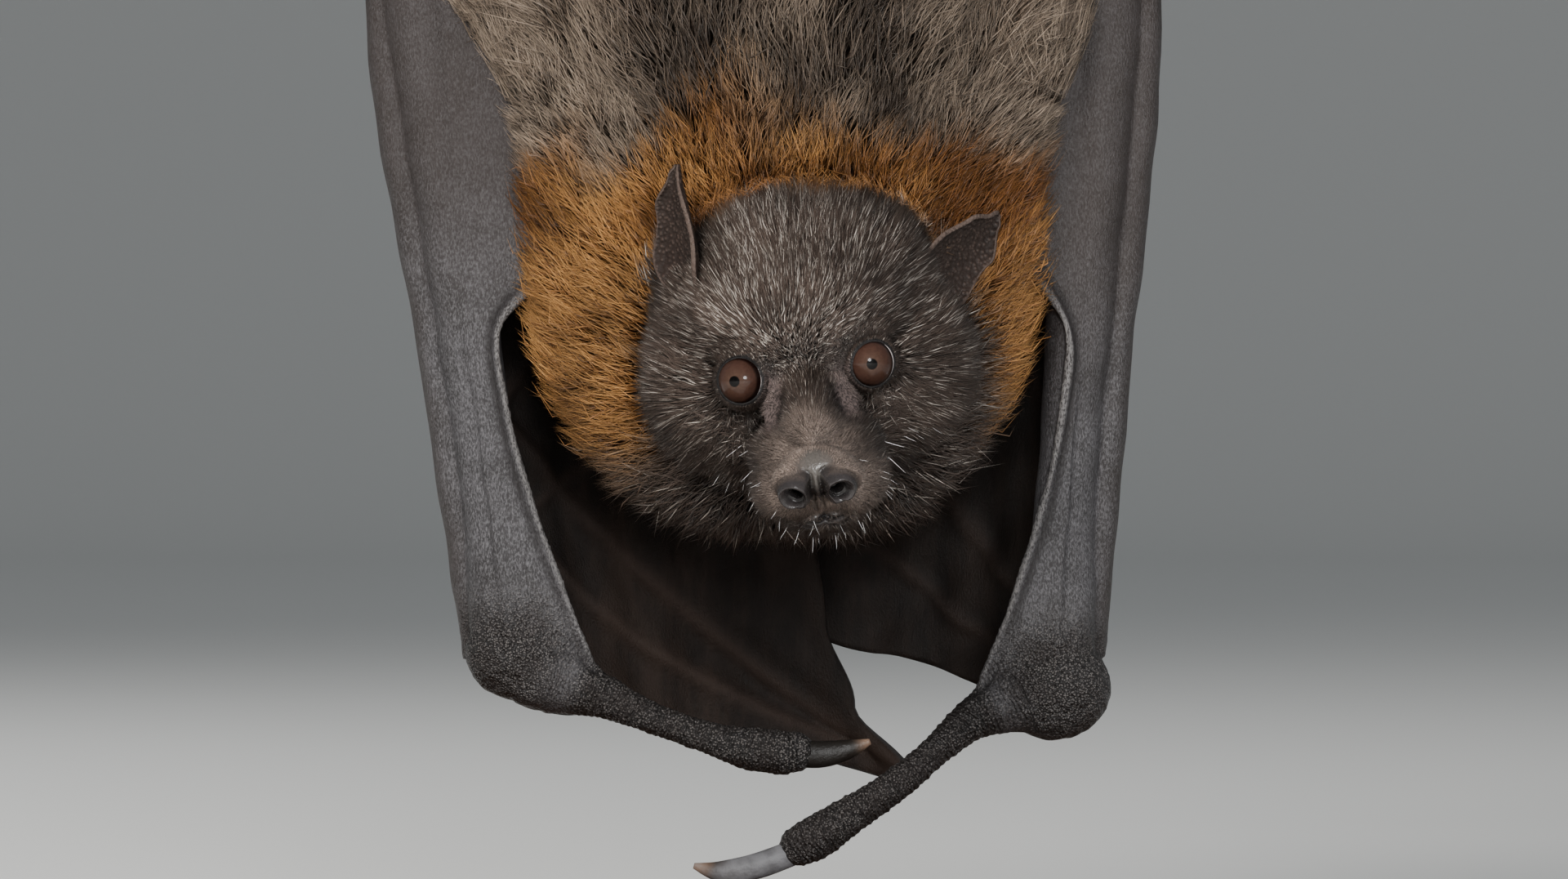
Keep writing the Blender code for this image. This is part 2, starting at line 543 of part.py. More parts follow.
def make_foot(made, side, skin, claw_look):
    sign = SIDES[side]
    bm = bmesh.new()
    ankle = Vector((sign * ANKLE.x, ANKLE.y, ANKLE.z))
    sole = round_branch(sign * 0.0235, 186, 0.0040)
    tube(bm, through([(*(ankle - Vector((0, 0, 0.003))), 0.0045, 0.0042),
                      (*ankle.lerp(sole, 0.5), 0.0060, 0.0036),
                      (*sole, 0.0095, 0.0034),
                      (*round_branch(sign * 0.0240, 168, 0.0036), 0.0100, 0.0030)], 10), sides=16)
    toe_x = [sign * 0.0240 + 0.0046 * (k - (TOES - 1) / 2) for k in range(TOES)]
    for x in toe_x:
        start = sign * 0.0240 + (x - sign * 0.0240) * 0.86
        tube(bm, [(*round_branch(start + (x - start) * k / 9, 176 - 104 * k / 9, 0.0028),
                   0.0019 + 0.0003 * (k == 5), 0.0021) for k in range(10)], sides=10)
    whole = melded(bm, voxel=0.0007, rounds=3, triangles=310)
    foot = part(f"foot_{side}", half(whole, ankle, (0, 0, 1)), skin)
    made[f"foot_{side}"] = foot
    for k, x in enumerate(toe_x):
        claw = tube(bmesh.new(), [(*round_branch(x, 71 - 58 * j / 4, 0.0030 - 0.0018 * (j / 4) ** 2),
                                   0.0011 * (1 - 0.75 * (j / 4) ** 1.5), 0.0019 * (1 - 0.80 * (j / 4) ** 1.5))
                                  for j in range(5)], sides=4)
        name = f"toe_claw_{side}_{k + 1}"
        made[name] = part(name, claw, claw_look)
        clear_of(made[name], foot)


# ---------------------------------------------------------------- the branch and the stand
def make_branch(look):
    """A cut length of branch, a little bent and swollen, its ends sawn off square."""
    rings = 13
    stations = []
    for k in range(rings):
        x = BRANCH_LENGTH * (k / (rings - 1) - 0.5)
        away = max(0.0, abs(x) - 0.045)
        sway = 0.10 * away * away * math.copysign(1, x)
        swell = 1 + min(1.0, away / 0.03) * (0.05 * math.sin(67 * x + 1) + 0.03 * math.sin(151 * x))
        radius = BRANCH_RADIUS * swell
        stations.append((x, BRANCH_CENTRE.y + sway, BRANCH_CENTRE.z, radius, radius))
    bm = tube(bmesh.new(), stations, sides=12, width_axis=(0, 0, 1))
    branch = part("perch_branch", bm, look, smooth_angle=40)
    for side, sign in SIDES.items():
        room, below, end = ROD_RADIUS + GAP, BRANCH_CENTRE.z - 2 * BRANCH_RADIUS, BRANCH_CENTRE.z + GAP
        hole = turned([(0, below), (room, below), (room, end), (0, end)],
                      (sign * ROD_X, BRANCH_CENTRE.y, 0), ROD_SIDES)
        cut_by(branch, as_cutter(part(f"rod_hole_{side}", hole, look)))
    return branch


def make_stand(wood, steel):
    wide, deep, thick = BASE_SIZE
    bm = bmesh.new()
    bmesh.ops.create_cube(bm, size=1.0, matrix=Matrix.Translation((0, 0, thick / 2))
                          @ Matrix.Diagonal((wide, deep, thick, 1.0)))
    corners = [e for e in bm.edges if abs(e.verts[0].co.z - e.verts[1].co.z) > thick / 2]
    bmesh.ops.bevel(bm, geom=corners, offset=0.012, segments=4, affect="EDGES", profile=0.5)
    rim = [e for e in bm.edges if all(v.co.z > thick - 1e-5 for v in e.verts)]
    bmesh.ops.bevel(bm, geom=rim, offset=0.0025, segments=2, affect="EDGES", profile=0.5)
    part("stand_base", bm, wood, smooth_angle=35)
    foot = thick + GAP
    for side, sign in SIDES.items():
        profile = [(0, foot), (0.015, foot), (0.015, foot + 0.0025), (0.0140, foot + 0.0035),
                   (0.0070, foot + 0.0045), (ROD_RADIUS, foot + 0.0080), (ROD_RADIUS, BRANCH_CENTRE.z),
                   (0, BRANCH_CENTRE.z)]
        rod = turned(profile, (sign * ROD_X, BRANCH_CENTRE.y, 0), ROD_SIDES)
        part(f"stand_rod_{side}", rod, steel, smooth_angle=35)


def main():
    for old in list(bpy.data.objects):
        bpy.data.objects.remove(old)
    head_fur = material("head_coat", (0.085, 0.070, 0.065), 0.85)
    mantle = material("mantle_coat", (0.36, 0.17, 0.055), 0.85)
    fur = material("coat", (0.16, 0.125, 0.10), 0.85)
    leg_fur = material("leg_coat", (0.13, 0.105, 0.09), 0.85)
    skin = material("wing_skin", (0.050, 0.046, 0.046), 0.42)
    ear_look = material("ear_skin", (0.060, 0.050, 0.046), 0.55)
    eye_look = material("eye", (0.16, 0.055, 0.030), 0.08)
    claw_look = material("claw", (0.11, 0.10, 0.095), 0.30)
    bark = material("bark", (0.20, 0.15, 0.11), 0.85)
    wood = material("stand_wood", (0.10, 0.055, 0.030), 0.45)
    steel = material("stand_steel", (0.55, 0.55, 0.55), 0.35, 1.0)

    made = make_body(head_fur, mantle, fur, leg_fur)
    make_face(made, eye_look)
    make_ears(made, ear_look)
    for side in SIDES:
        make_arm(made, side, skin, claw_look)
        make_fingers(made, side, skin, claw_look)
        make_membranes(made, side, skin)
        make_foot(made, side, skin, claw_look)
    make_branch(bark)
    make_stand(wood, steel)


main()
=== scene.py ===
"""The looks of a fruit bat (a grey-headed flying fox) that hangs from a branch on a display stand.

One skin lies under the coat, the wings are skins of their own, and the coat is solid tufts rooted on the
skin. Everything is in metres in the model's own frame: the bat's right side is at -X, its back faces -Y and
+Z is up.
"""

import math

import bmesh
import bpy
import numpy as np
from mathutils import Matrix, Vector
from mathutils.bvhtree import BVHTree
from mathutils.kdtree import KDTree


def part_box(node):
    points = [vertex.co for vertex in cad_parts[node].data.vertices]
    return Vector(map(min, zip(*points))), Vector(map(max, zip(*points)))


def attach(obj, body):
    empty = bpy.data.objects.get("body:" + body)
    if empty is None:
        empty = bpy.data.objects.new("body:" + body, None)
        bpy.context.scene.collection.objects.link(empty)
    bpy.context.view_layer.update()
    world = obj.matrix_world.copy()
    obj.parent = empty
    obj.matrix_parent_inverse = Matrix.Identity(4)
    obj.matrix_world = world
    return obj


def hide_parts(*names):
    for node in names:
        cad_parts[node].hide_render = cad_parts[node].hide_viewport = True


bl_info = {
    "name": "Fruit Bat",
    "version": (1, 0, 0),
    "blender": (4, 5, 0),
    "location": "3D View > Sidebar > Fruit Bat",
    "description": "Dresses a life-size fruit bat that hangs from a branch on a display stand",
    "category": "Add Mesh",
}

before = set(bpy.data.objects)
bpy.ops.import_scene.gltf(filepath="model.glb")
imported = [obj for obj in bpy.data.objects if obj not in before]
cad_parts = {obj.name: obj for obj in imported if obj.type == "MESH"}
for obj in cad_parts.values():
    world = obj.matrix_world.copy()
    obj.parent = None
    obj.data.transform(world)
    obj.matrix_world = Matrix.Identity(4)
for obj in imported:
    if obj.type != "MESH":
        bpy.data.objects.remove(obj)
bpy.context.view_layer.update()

# ---------------------------------------------------------------- driving sizes, as the solids have them
SIDES = {"right": -1, "left": 1}
FACE_ORIGIN = Vector((0.0044, -0.062, 0.1325))     # midway between the eyes
HEAD_PITCH, HEAD_ROLL, HEAD_YAW = math.radians(23.5), math.radians(-8.3), math.radians(-2.0)
EYE_PLACE, EYE_RADIUS, EYE_INSET = (0.0134, 0.0016, 0.0), 0.0053, 0.0011
GAZE = {-1: (-0.375, -0.924, -0.077), 1: (0.162, -0.982, -0.099)}       # the way each pupil points
IRIS = {-1: (-0.46, -1.0, -0.08), 1: (0.34, -1.0, -0.13)}              # the middle of each iris
OUTER_WHITE = {-1: 0.0, 1: 0.36}                    # how much of the white shows at the outer corner
LIDS = {-1: (-0.346, -1.0, -0.09), 1: (0.46, -1.0, -0.18)}             # the middle of each opening
EAR_LENGTH, EAR_WIDTH = 0.029, 0.0165
SHOULDER_X, HIP_X = 0.036, 0.015
ELBOW = {"right": Vector((-0.0785, 0.006, 0.234)), "left": Vector((0.0680, 0.006, 0.231))}
WRIST = {"right": Vector((-0.0570, 0.001, 0.0740)), "left": Vector((0.0565, 0.001, 0.0690))}
KNEE = Vector((0.0345, -0.006, 0.345))
ANKLE = Vector((0.022, -0.0145, 0.407))
TOES = 5
BRANCH_LOW, BRANCH_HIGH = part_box("perch_branch")
BRANCH_CENTRE = Vector((0.0, 0.004, 0.431))
BRANCH_RADIUS = 0.0130
NOSE = (0.0, -0.0315, -0.0095)                     # between the nostrils, in the head's frame
SLIT_X = -0.0003                                   # the slit between the nostrils, in the head's frame
LID_EDGE = (58.5, 59.5)                            # degrees off an opening's middle, where the fur starts
MANTLE_TOP, BACK_FROM, ARM_TOP, LEG_FROM = 0.187, 0.185, 0.262, 0.318    # heights that part the coat
FLOOR_REACH, WALL_Y, WALL_CURVE, WALL_TOP = 9.0, 5.0, 1.6, 5.0           # the stage, clear of every view

# Centre and half sizes of each rounded form of the head in its coat, then the depth of the coat on it.
HEAD_FORMS = [
    ((0, 0.027, 0.006), (0.0330, 0.0250, 0.0245), 0.0050),             # crown
    ((0, 0.011, 0.0065), (0.0225, 0.0190, 0.0165), 0.0032),            # forehead
    ((0.0180, 0.018, -0.008), (0.0198, 0.0190, 0.0215), 0.0068),       # cheek
    ((0, 0.014, -0.018), (0.0270, 0.0210, 0.0195), 0.0080),            # throat
    ((0.0090, 0.005, 0.0065), (0.0090, 0.0080, 0.0065), 0.0014),       # brow
    ((0, -0.009, -0.0040), (0.0072, 0.0170, 0.0062), 0.0010),          # bridge of the nose
    ((0, -0.011, -0.0105), (0.0118, 0.0175, 0.0090), 0.0010),          # muzzle
    ((0, -0.0235, -0.0122), (0.0088, 0.0080, 0.0068), 0.0004),         # front of the upper lip
    ((0.0050, -0.0210, -0.0142), (0.0068, 0.0090, 0.0064), 0.0007),    # whisker pad
    ((0, -0.0176, -0.0200), (0.0080, 0.0105, 0.0046), 0.0008),         # chin
    ((0, -0.002, -0.0195), (0.0155, 0.0160, 0.0100), 0.0040),          # lower jaw
    ((0, -0.0290, -0.0085), (0.0074, 0.0046, 0.0050), 0.0),            # nose pad
    ((0.0050, -0.0318, -0.0092), (0.0038, 0.0040, 0.0040), 0.0),       # nostril
    (EYE_PLACE, (0.0061, 0.0058, 0.0061), 0.0)]                        # eye socket

LEADING_EDGE = {             # x, y, z from the shoulder to the base of the thumb
    "right": [(-0.0500, -0.006, 0.1530), (-0.0588, -0.006, 0.1430), (-0.0575, -0.006, 0.1270),
              (-0.0535, -0.006, 0.1110), (-0.0465, -0.005, 0.0910), (-0.0385, -0.003, 0.0710)],
    "left": [(0.0500, -0.006, 0.1560), (0.0585, -0.006, 0.1430), (0.0578, -0.006, 0.1270),
             (0.0540, -0.006, 0.1080), (0.0475, -0.005, 0.0870), (0.0400, -0.003, 0.0680)]}
THUMB = {                    # x, y, z and half thickness, from the wrist to the knuckle of the claw
    "right": [(-0.0470, 0.000, 0.0700, 0.0080), (-0.0374, -0.003, 0.0662, 0.0046),
              (-0.0272, -0.006, 0.0617, 0.0033), (-0.0170, -0.008, 0.0583, 0.0033),
              (-0.0085, -0.009, 0.0560, 0.0043), (0.0000, -0.010, 0.0548, 0.0045),
              (0.0028, -0.010, 0.0550, 0.0030)],
    "left": [(0.0480, 0.000, 0.0660, 0.0080), (0.0395, -0.003, 0.0617, 0.0045),
             (0.0323, -0.006, 0.0559, 0.0033), (0.0238, -0.009, 0.0486, 0.0034),
             (0.0153, -0.011, 0.0430, 0.0037), (0.0068, -0.013, 0.0376, 0.0046),
             (0.0017, -0.013, 0.0350, 0.0040)]}
THUMB_CLAW = {
    "right": [(0.0016, -0.0102, 0.0547, 0.0034), (0.0075, -0.0106, 0.0545, 0.0030),
              (0.0130, -0.0108, 0.0555, 0.0021), (0.0178, -0.0108, 0.0572, 0.0004)],
    "left": [(0.0014, -0.0134, 0.0342, 0.0033), (-0.0060, -0.0140, 0.0316, 0.0029),
             (-0.0130, -0.0144, 0.0306, 0.0022), (-0.0186, -0.0146, 0.0318, 0.0004)]}
WRAP_FROM, BUNDLE_AT = 11.0, 3.0                   # degrees round the body from the bat's side
WRAP_TO = {
    "right": [(0.047, 116), (0.062, 104), (0.080, 98), (0.105, 95), (0.150, 80), (0.200, 62), (0.260, 54),
              (0.400, 62)],
    "left": [(0.060, 96), (0.095, 118), (0.115, 113), (0.150, 94), (0.200, 66), (0.260, 54), (0.400, 62)]}
HEM = {                      # height of the cloak's lower edge against that angle
    "right": [(14, 0.0680), (50, 0.0605), (85, 0.0535), (116, 0.0450)],
    "left": [(14, 0.0610), (50, 0.0655), (80, 0.0730), (118, 0.0930)]}
CLOAK_WIDTH = {              # half width of the cloak against height
    "right": [(0.045, 0.0610), (0.078, 0.0650), (0.112, 0.0698), (0.153, 0.0758), (0.190, 0.0832),
              (0.225, 0.0868), (0.300, 0.0720), (0.345, 0.0560), (0.392, 0.0310)],
    "left": [(0.045, 0.0600), (0.078, 0.0652), (0.110, 0.0676), (0.150, 0.0712), (0.190, 0.0756),
             (0.225, 0.0770), (0.300, 0.0665), (0.345, 0.0545), (0.392, 0.0310)]}
CLOAK_DEPTH = [(0.045, 0.050), (0.200, 0.050), (0.300, 0.046), (0.392, 0.020)]
CLOAK_TOP, KNUCKLES_Z = 0.388, 0.190
LAYER = {"right": 0.0, "left": 0.006}       # the left wing lies over the right one
FINGER_LINES = {             # degrees round the body and height along the finger bones in the wrapped hand
    "right": [[(6, 0.186), (24, 0.140), (55, 0.0990), (92, 0.0640), (114, 0.0500)],
              [(6, 0.184), (20, 0.124), (48, 0.0870), (80, 0.0640), (106, 0.0520)],
              [(8, 0.080), (30, 0.120), (52, 0.150), (66, 0.185)],
              [(8, 0.079), (36, 0.102), (66, 0.122), (90, 0.130)]],
    "left": [[(8, 0.074), (42, 0.0886), (61, 0.1107), (84, 0.140), (92, 0.150)],
             [(8, 0.072), (48, 0.0770), (70, 0.0940), (98, 0.106)],
             [(8, 0.078), (28, 0.112), (48, 0.148), (62, 0.185)]]}


# ---------------------------------------------------------------- numbers
def through(points, count):
    """A smooth (Catmull-Rom) run of count tuples through the points, which may hold radii after x, y, z."""
    run = []
    last = len(points) - 1
    for i in range(count):
        place = last * i / (count - 1)
        k = min(int(place), last - 1)
        t = place - k
        before, start = points[max(k - 1, 0)], points[k]
        end, after = points[k + 1], points[min(k + 2, last)]
        run.append(tuple(
            0.5 * (2 * b + (c - a) * t + (2 * a - 5 * b + 4 * c - d) * t * t
                   + (3 * b - a - 3 * c + d) * t ** 3)
            for a, b, c, d in zip(before, start, end, after)))
    return run


def step(low, high, value):
    """0 below low, 1 above high and eased between them; works on arrays, and falls if low is above high."""
    t = np.clip((value - low) / (high - low), 0.0, 1.0)
    return t * t * (3 - 2 * t)


def at(table, place):
    """The values at some places in a table of (place, value) pairs, eased between them."""
    places, values = (np.array(column, float) for column in zip(*table))
    place = np.asarray(place, float)
    k = np.clip(np.searchsorted(places, place) - 1, 0, len(places) - 2)
    t = step(0, 1, (place - places[k]) / (places[k + 1] - places[k]))
    return values[k] + (values[k + 1] - values[k]) * t


def unit(vectors):
    return vectors / np.maximum(np.linalg.norm(vectors, axis=-1, keepdims=True), 1e-12)


def dot(a, b):
    return (a * b).sum(-1, keepdims=True)


def wobble(points, per_metre, seed):
    """Smooth noise, a vector for each point mostly between -1 and 1: sine waves in set directions."""
    rng = np.random.default_rng(seed)
    total = np.zeros_like(points)
    waves = 6
    for _ in range(waves):
        ways = rng.normal(size=(3, 3)) * per_metre
        total += np.sin(points @ ways.T + rng.random(3) * math.tau)
    return total / math.sqrt(waves)


def to_line(points, line):
    """Each point's distance to a line of points, and how far along it, from 0 to 1, the nearest place is."""
    line = np.array([p[:3] for p in line], float)
    lengths = np.linalg.norm(np.diff(line, axis=0), axis=1)
    starts = np.concatenate([[0], np.cumsum(lengths)])
    best, place = np.full(len(points), np.inf), np.zeros(len(points))
    for k, length in enumerate(lengths):
        run = line[k + 1] - line[k]
        t = np.clip((points - line[k]) @ run / length ** 2, 0, 1)
        away = np.linalg.norm(points - line[k] - t[:, None] * run, axis=1)
        closer = away < best
        best[closer] = away[closer]
        place[closer] = (starts[k] + t[closer] * length) / starts[-1]
    return best, place


def head_place():
    """The head's own frame: +X to the left ear, -Y to the nose, +Z to the crown, from between the eyes."""
    return (Matrix.Translation(FACE_ORIGIN) @ Matrix.Rotation(HEAD_ROLL, 4, "Y")
            @ Matrix.Rotation(HEAD_YAW, 4, "Z") @ Matrix.Rotation(HEAD_PITCH, 4, "X"))


HEAD = head_place()
HEAD_TURN = np.array(HEAD.to_3x3())


def in_head(points):
    """World points in the head's frame."""
    return (points - np.array(FACE_ORIGIN)) @ HEAD_TURN


def from_head(points):
    return np.asarray(points, float) @ HEAD_TURN.T + np.array(FACE_ORIGIN)


def eye_place(sign):
    return np.array((sign * (EYE_PLACE[0] - EYE_INSET), *EYE_PLACE[1:]))


def from_eyes(points):
    """The distance to the middle of the nearer eye."""
    here = in_head(points)
    return np.minimum(*(np.linalg.norm(here - eye_place(sign), axis=1) for sign in (-1, 1)))


def nostril_x(sign):
    return sign * 0.0045 - 0.0004


def from_nose(points):
    return np.linalg.norm(in_head(points) - NOSE, axis=1)


def angle_to(points, centre, way):
    """The angle in degrees between a way and the way to each point from a centre."""
    away = unit(points - np.asarray(centre))
    return np.degrees(np.arccos(np.clip(away @ unit(np.asarray(way, float)), -1, 1)))


# ---------------------------------------------------------------- making meshes
def tube(bm, stations, sides=10, width_axis=(1, 0, 0)):
    """A closed tube. A station is x, y, z, the half width along width_axis and the half depth across it."""
    rings = []
    centres = [Vector(s[:3]) for s in stations]
    for i, station in enumerate(stations):
        along = (centres[min(i + 1, len(centres) - 1)] - centres[max(i - 1, 0)]).normalized()
        wide = Vector(width_axis)
        wide = (wide - along * wide.dot(along)).normalized()
        deep = along.cross(wide)
        rings.append([
            bm.verts.new(centres[i] + wide * station[3] * math.cos(turn) + deep * station[4] * math.sin(turn))
            for turn in (math.tau * k / sides for k in range(sides))])
    for first, second in zip(rings, rings[1:]):
        for k in range(sides):
            bm.faces.new((first[k], first[(k + 1) % sides], second[(k + 1) % sides], second[k]))
    bm.faces.new(list(reversed(rings[0])))
    bm.faces.new(rings[-1])
    return bm


def ball(bm, centre, radii, place=Matrix.Identity(4), segments=40):
    """An ellipsoid with its half sizes along the axes of place."""
    shape = place @ Matrix.Translation(centre) @ Matrix.Diagonal((*radii, 1.0))
    bmesh.ops.create_uvsphere(bm, u_segments=segments, v_segments=segments * 5 // 8, radius=1.0, matrix=shape)


def blob(bm, centre, radii, place):
    """An ellipsoid on each side of the middle plane of place, or one where its centre is on that plane."""
    x, y, z = centre
    for side in ((1, -1) if x else (1,)):
        ball(bm, (side * x, y, z), radii, place)


def add_object(name, data):
    obj = bpy.data.objects.new(name, data)
    bpy.context.scene.collection.objects.link(obj)
    return obj


def settled(obj):
    """The mesh of an object as its modifiers leave it; the object is then removed."""
    graph = bpy.context.evaluated_depsgraph_get()
    mesh = bpy.data.meshes.new_from_object(obj.evaluated_get(graph))
    bpy.data.objects.remove(obj)
    return mesh


def melded(bm, voxel, rounds, triangles):
    """Overlapping closed shapes made into one soft skin, as a mesh of at most that many triangles."""
    mesh = bpy.data.meshes.new("meld")
    bm.to_mesh(mesh)
    bm.free()
    obj = add_object("meld", mesh)
    remesh = obj.modifiers.new("voxels", "REMESH")
    remesh.mode = "VOXEL"
    remesh.voxel_size = voxel
    soften = obj.modifiers.new("soften", "SMOOTH")
    soften.factor, soften.iterations = 0.5, rounds
    mesh = settled(obj)
    count = sum(len(face.vertices) - 2 for face in mesh.polygons)
    if count <= triangles:
        return mesh
    obj = add_object("meld", mesh)
    obj.modifiers.new("thirds", "TRIANGULATE")
    fewer = obj.modifiers.new("fewer", "DECIMATE")
    fewer.ratio = triangles / count
    return settled(obj)


def refined(mesh, near, rounds):
    """Splits the edges whose ends both pass the near test, which takes an array of points."""
    bm = bmesh.new()
    bm.from_mesh(mesh)
    for _ in range(rounds):
        keep = near(np.array([v.co for v in bm.verts]))
        bm.verts.index_update()
        edges = [e for e in bm.edges if keep[e.verts[0].index] and keep[e.verts[1].index]]
        bmesh.ops.subdivide_edges(bm, edges=edges, cuts=1, use_grid_fill=True)
        bmesh.ops.triangulate(bm, faces=[f for f in bm.faces if len(f.verts) > 3])
    bm.to_mesh(mesh)
    bm.free()
    return mesh


def points_of(mesh):
    flat = np.empty(len(mesh.vertices) * 3, np.float32)
    mesh.vertices.foreach_get("co", flat)
    return flat.reshape(-1, 3).astype(float)


def normals_of(mesh):
    flat = np.empty(len(mesh.vertices) * 3, np.float32)
    mesh.vertex_normals.foreach_get("vector", flat)
    return flat.reshape(-1, 3).astype(float)


def move_points(mesh, points):
    mesh.vertices.foreach_set("co", points.astype(np.float32).ravel())
    mesh.update()


def note(mesh, **values):
    """Stores a number for each vertex under each name, for the materials to read."""
    for name, value in values.items():
        attribute = mesh.attributes.get(name) or mesh.attributes.new(name, "FLOAT", "POINT")
        attribute.data.foreach_set("value", np.ascontiguousarray(value, dtype=np.float32))


def shell(surface, across, along, thickness):
    """A closed thin mesh about surface(u, v), a function of arrays; thickness is one size or a grid."""
    u, v = np.meshgrid(np.linspace(0, 1, across + 1), np.linspace(0, 1, along + 1), indexing="ij")
    middle = surface(u, v)
    out = unit(np.cross(np.gradient(middle, axis=0), np.gradient(middle, axis=1)))
    half = np.broadcast_to(np.asarray(thickness, float) / 2, u.shape)[..., None]
    points = np.concatenate([(middle + out * half).reshape(-1, 3), (middle - out * half).reshape(-1, 3)])
    row, layer = along + 1, (across + 1) * (along + 1)
    i, j = np.meshgrid(np.arange(across), np.arange(along), indexing="ij")
    corner = (i * row + j).ravel()
    top = np.stack([corner, corner + row, corner + row + 1, corner + 1], 1)
    rim = [(i, 0) for i in range(across)] + [(across, j) for j in range(along)]
    rim += [(i, along) for i in range(across, 0, -1)] + [(0, j) for j in range(along, 0, -1)]
    edge = np.array([i * row + j for i, j in rim])
    after = np.roll(edge, -1)
    side = np.stack([after, edge, edge + layer, after + layer], 1)
    faces = np.concatenate([top, top[:, ::-1] + layer, side])
    mesh = bpy.data.meshes.new("shell")
    mesh.from_pydata(points.tolist(), [], faces.tolist())
    grid = {"across": u, "along": v}
    note(mesh, **{name: np.concatenate([value.ravel(), value.ravel()]) for name, value in grid.items()})
    return outward(mesh)


def outward(mesh):
    bm = bmesh.new()
    bm.from_mesh(mesh)
    bmesh.ops.recalc_face_normals(bm, faces=bm.faces[:])
    bm.to_mesh(mesh)
    bm.free()
    return mesh


def solid(bm):
    """The bmesh as a mesh with its faces pointing out."""
    bmesh.ops.recalc_face_normals(bm, faces=bm.faces[:])
    mesh = bpy.data.meshes.new("solid")
    bm.to_mesh(mesh)
    bm.free()
    return mesh


def joined(meshes):
    """Several meshes as one; attributes of the same name carry over."""
    objects = [add_object("part", mesh) for mesh in meshes]
    with bpy.context.temp_override(active_object=objects[0], selected_editable_objects=objects,
                                   object=objects[0], selected_objects=objects):
        bpy.ops.object.join()
    mesh = objects[0].data
    bpy.data.objects.remove(objects[0])
    return mesh


def piece(name, mesh, look, slot, *nodes, smooth_angle=180.0):
    """A finished piece that rides on the model's only body and stands for the named nodes."""
    mesh.name = name
    mesh.materials.clear()
    mesh.materials.append(look)
    mesh.shade_smooth()
    if smooth_angle < 180:
        mesh.set_sharp_from_angle(angle=math.radians(smooth_angle))
    obj = add_object(name, mesh)
    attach(obj, "root")
    if nodes:
        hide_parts(*nodes)
    return obj


# ---------------------------------------------------------------- materials
class Term:
    """A shader socket; arithmetic on it adds Math nodes."""

    def __init__(self, look, socket):
        self.look, self.socket = look, socket

    def maths(self, operation, *terms):
        return self.look.node("ShaderNodeMath", {"operation": operation}, dict(enumerate(terms)))

    def __add__(self, other):
        return self.maths("ADD", self, other)

    def __sub__(self, other):
        return self.maths("SUBTRACT", self, other)

    def __rsub__(self, other):
        return self.maths("SUBTRACT", other, self)

    def __mul__(self, other):
        return self.maths("MULTIPLY", self, other)

    __radd__, __rmul__ = __add__, __mul__

    def sine(self):
        return self.maths("SINE", self)

    def within(self, low, high):
        """0 at low and 1 at high, held to that range."""
        return self.look.node("ShaderNodeMapRange", {"interpolation_type": "SMOOTHSTEP"},
                              {"Value": self, "From Min": low, "From Max": high})


class Look:
    """A material: node() adds any node, and the finish goes on its shader's sockets."""

    def __init__(self, name, **fixed):
        self.material = bpy.data.materials.new(name)
        self.material.use_nodes = True
        self.tree = self.material.node_tree
        self.shader = self.tree.nodes["Principled BSDF"]
        for socket, value in fixed.items():
            self.shader.inputs[socket.replace("_", " ")].default_value = value

    def node(self, kind, settings, values, output=0):
        made = self.tree.nodes.new(kind)
        for name, setting in settings.items():
            if name == "stops":
                ramp = made.color_ramp
                while len(ramp.elements) < len(setting):
                    ramp.elements.new(1.0)
                for element, (place, colour) in zip(ramp.elements, setting):
                    element.position, element.color = place, (*colour, 1.0)
            else:
                setattr(made, name, setting)
        for name, value in values.items():
            self.feed(made.inputs[name], value)
        return Term(self, made.outputs[output])

    def feed(self, socket, value):
        if isinstance(value, Term):
            self.tree.links.new(value.socket, socket)
        elif hasattr(value, "__len__") and len(value) == 3 and socket.type == "RGBA":
            socket.default_value = (*value, 1.0)
        else:
            socket.default_value = value

    def noted(self, name):
        """A number stored on the mesh."""
        return self.node("ShaderNodeAttribute", {"attribute_name": name}, {}, "Fac")

    def place(self):
        return self.node("ShaderNodeTexCoord", {}, {}, "Object")

    def noise(self, scale, detail=2.0, rough=0.5, stretch=None):
        where = self.place()
        if stretch:
            where = self.node("ShaderNodeMapping", {}, {"Vector": where, "Scale": stretch})
        return self.node("ShaderNodeTexNoise", {}, {"Vector": where, "Scale": scale, "Detail": detail,
                                                    "Roughness": rough}, "Fac")

    def cells(self, scale):
        return self.node("ShaderNodeTexVoronoi", {}, {"Vector": self.place(), "Scale": scale}, "Distance")

    def mix(self, factor, first, second, blend="MIX"):
        return self.node("ShaderNodeMix", {"data_type": "RGBA", "blend_type": blend},
                         {"Factor": factor, 6: first, 7: second}, 2)

    def ramp(self, factor, *stops):
        return self.node("ShaderNodeValToRGB", {"stops": stops}, {"Fac": factor}, "Color")

    def finish(self, colour, roughness=None, height=None, depth=0.0002, strength=1.0):
        """Joins what varies to the shader; height is in the units of depth, which is in metres."""
        self.feed(self.shader.inputs["Base Color"], colour)
        if roughness is not None:
            self.feed(self.shader.inputs["Roughness"], roughness)
        if height is not None:
            relief = {"Height": height, "Distance": depth, "Strength": strength}
            self.feed(self.shader.inputs["Normal"], self.node("ShaderNodeBump", {}, relief, "Normal"))
        return self.material


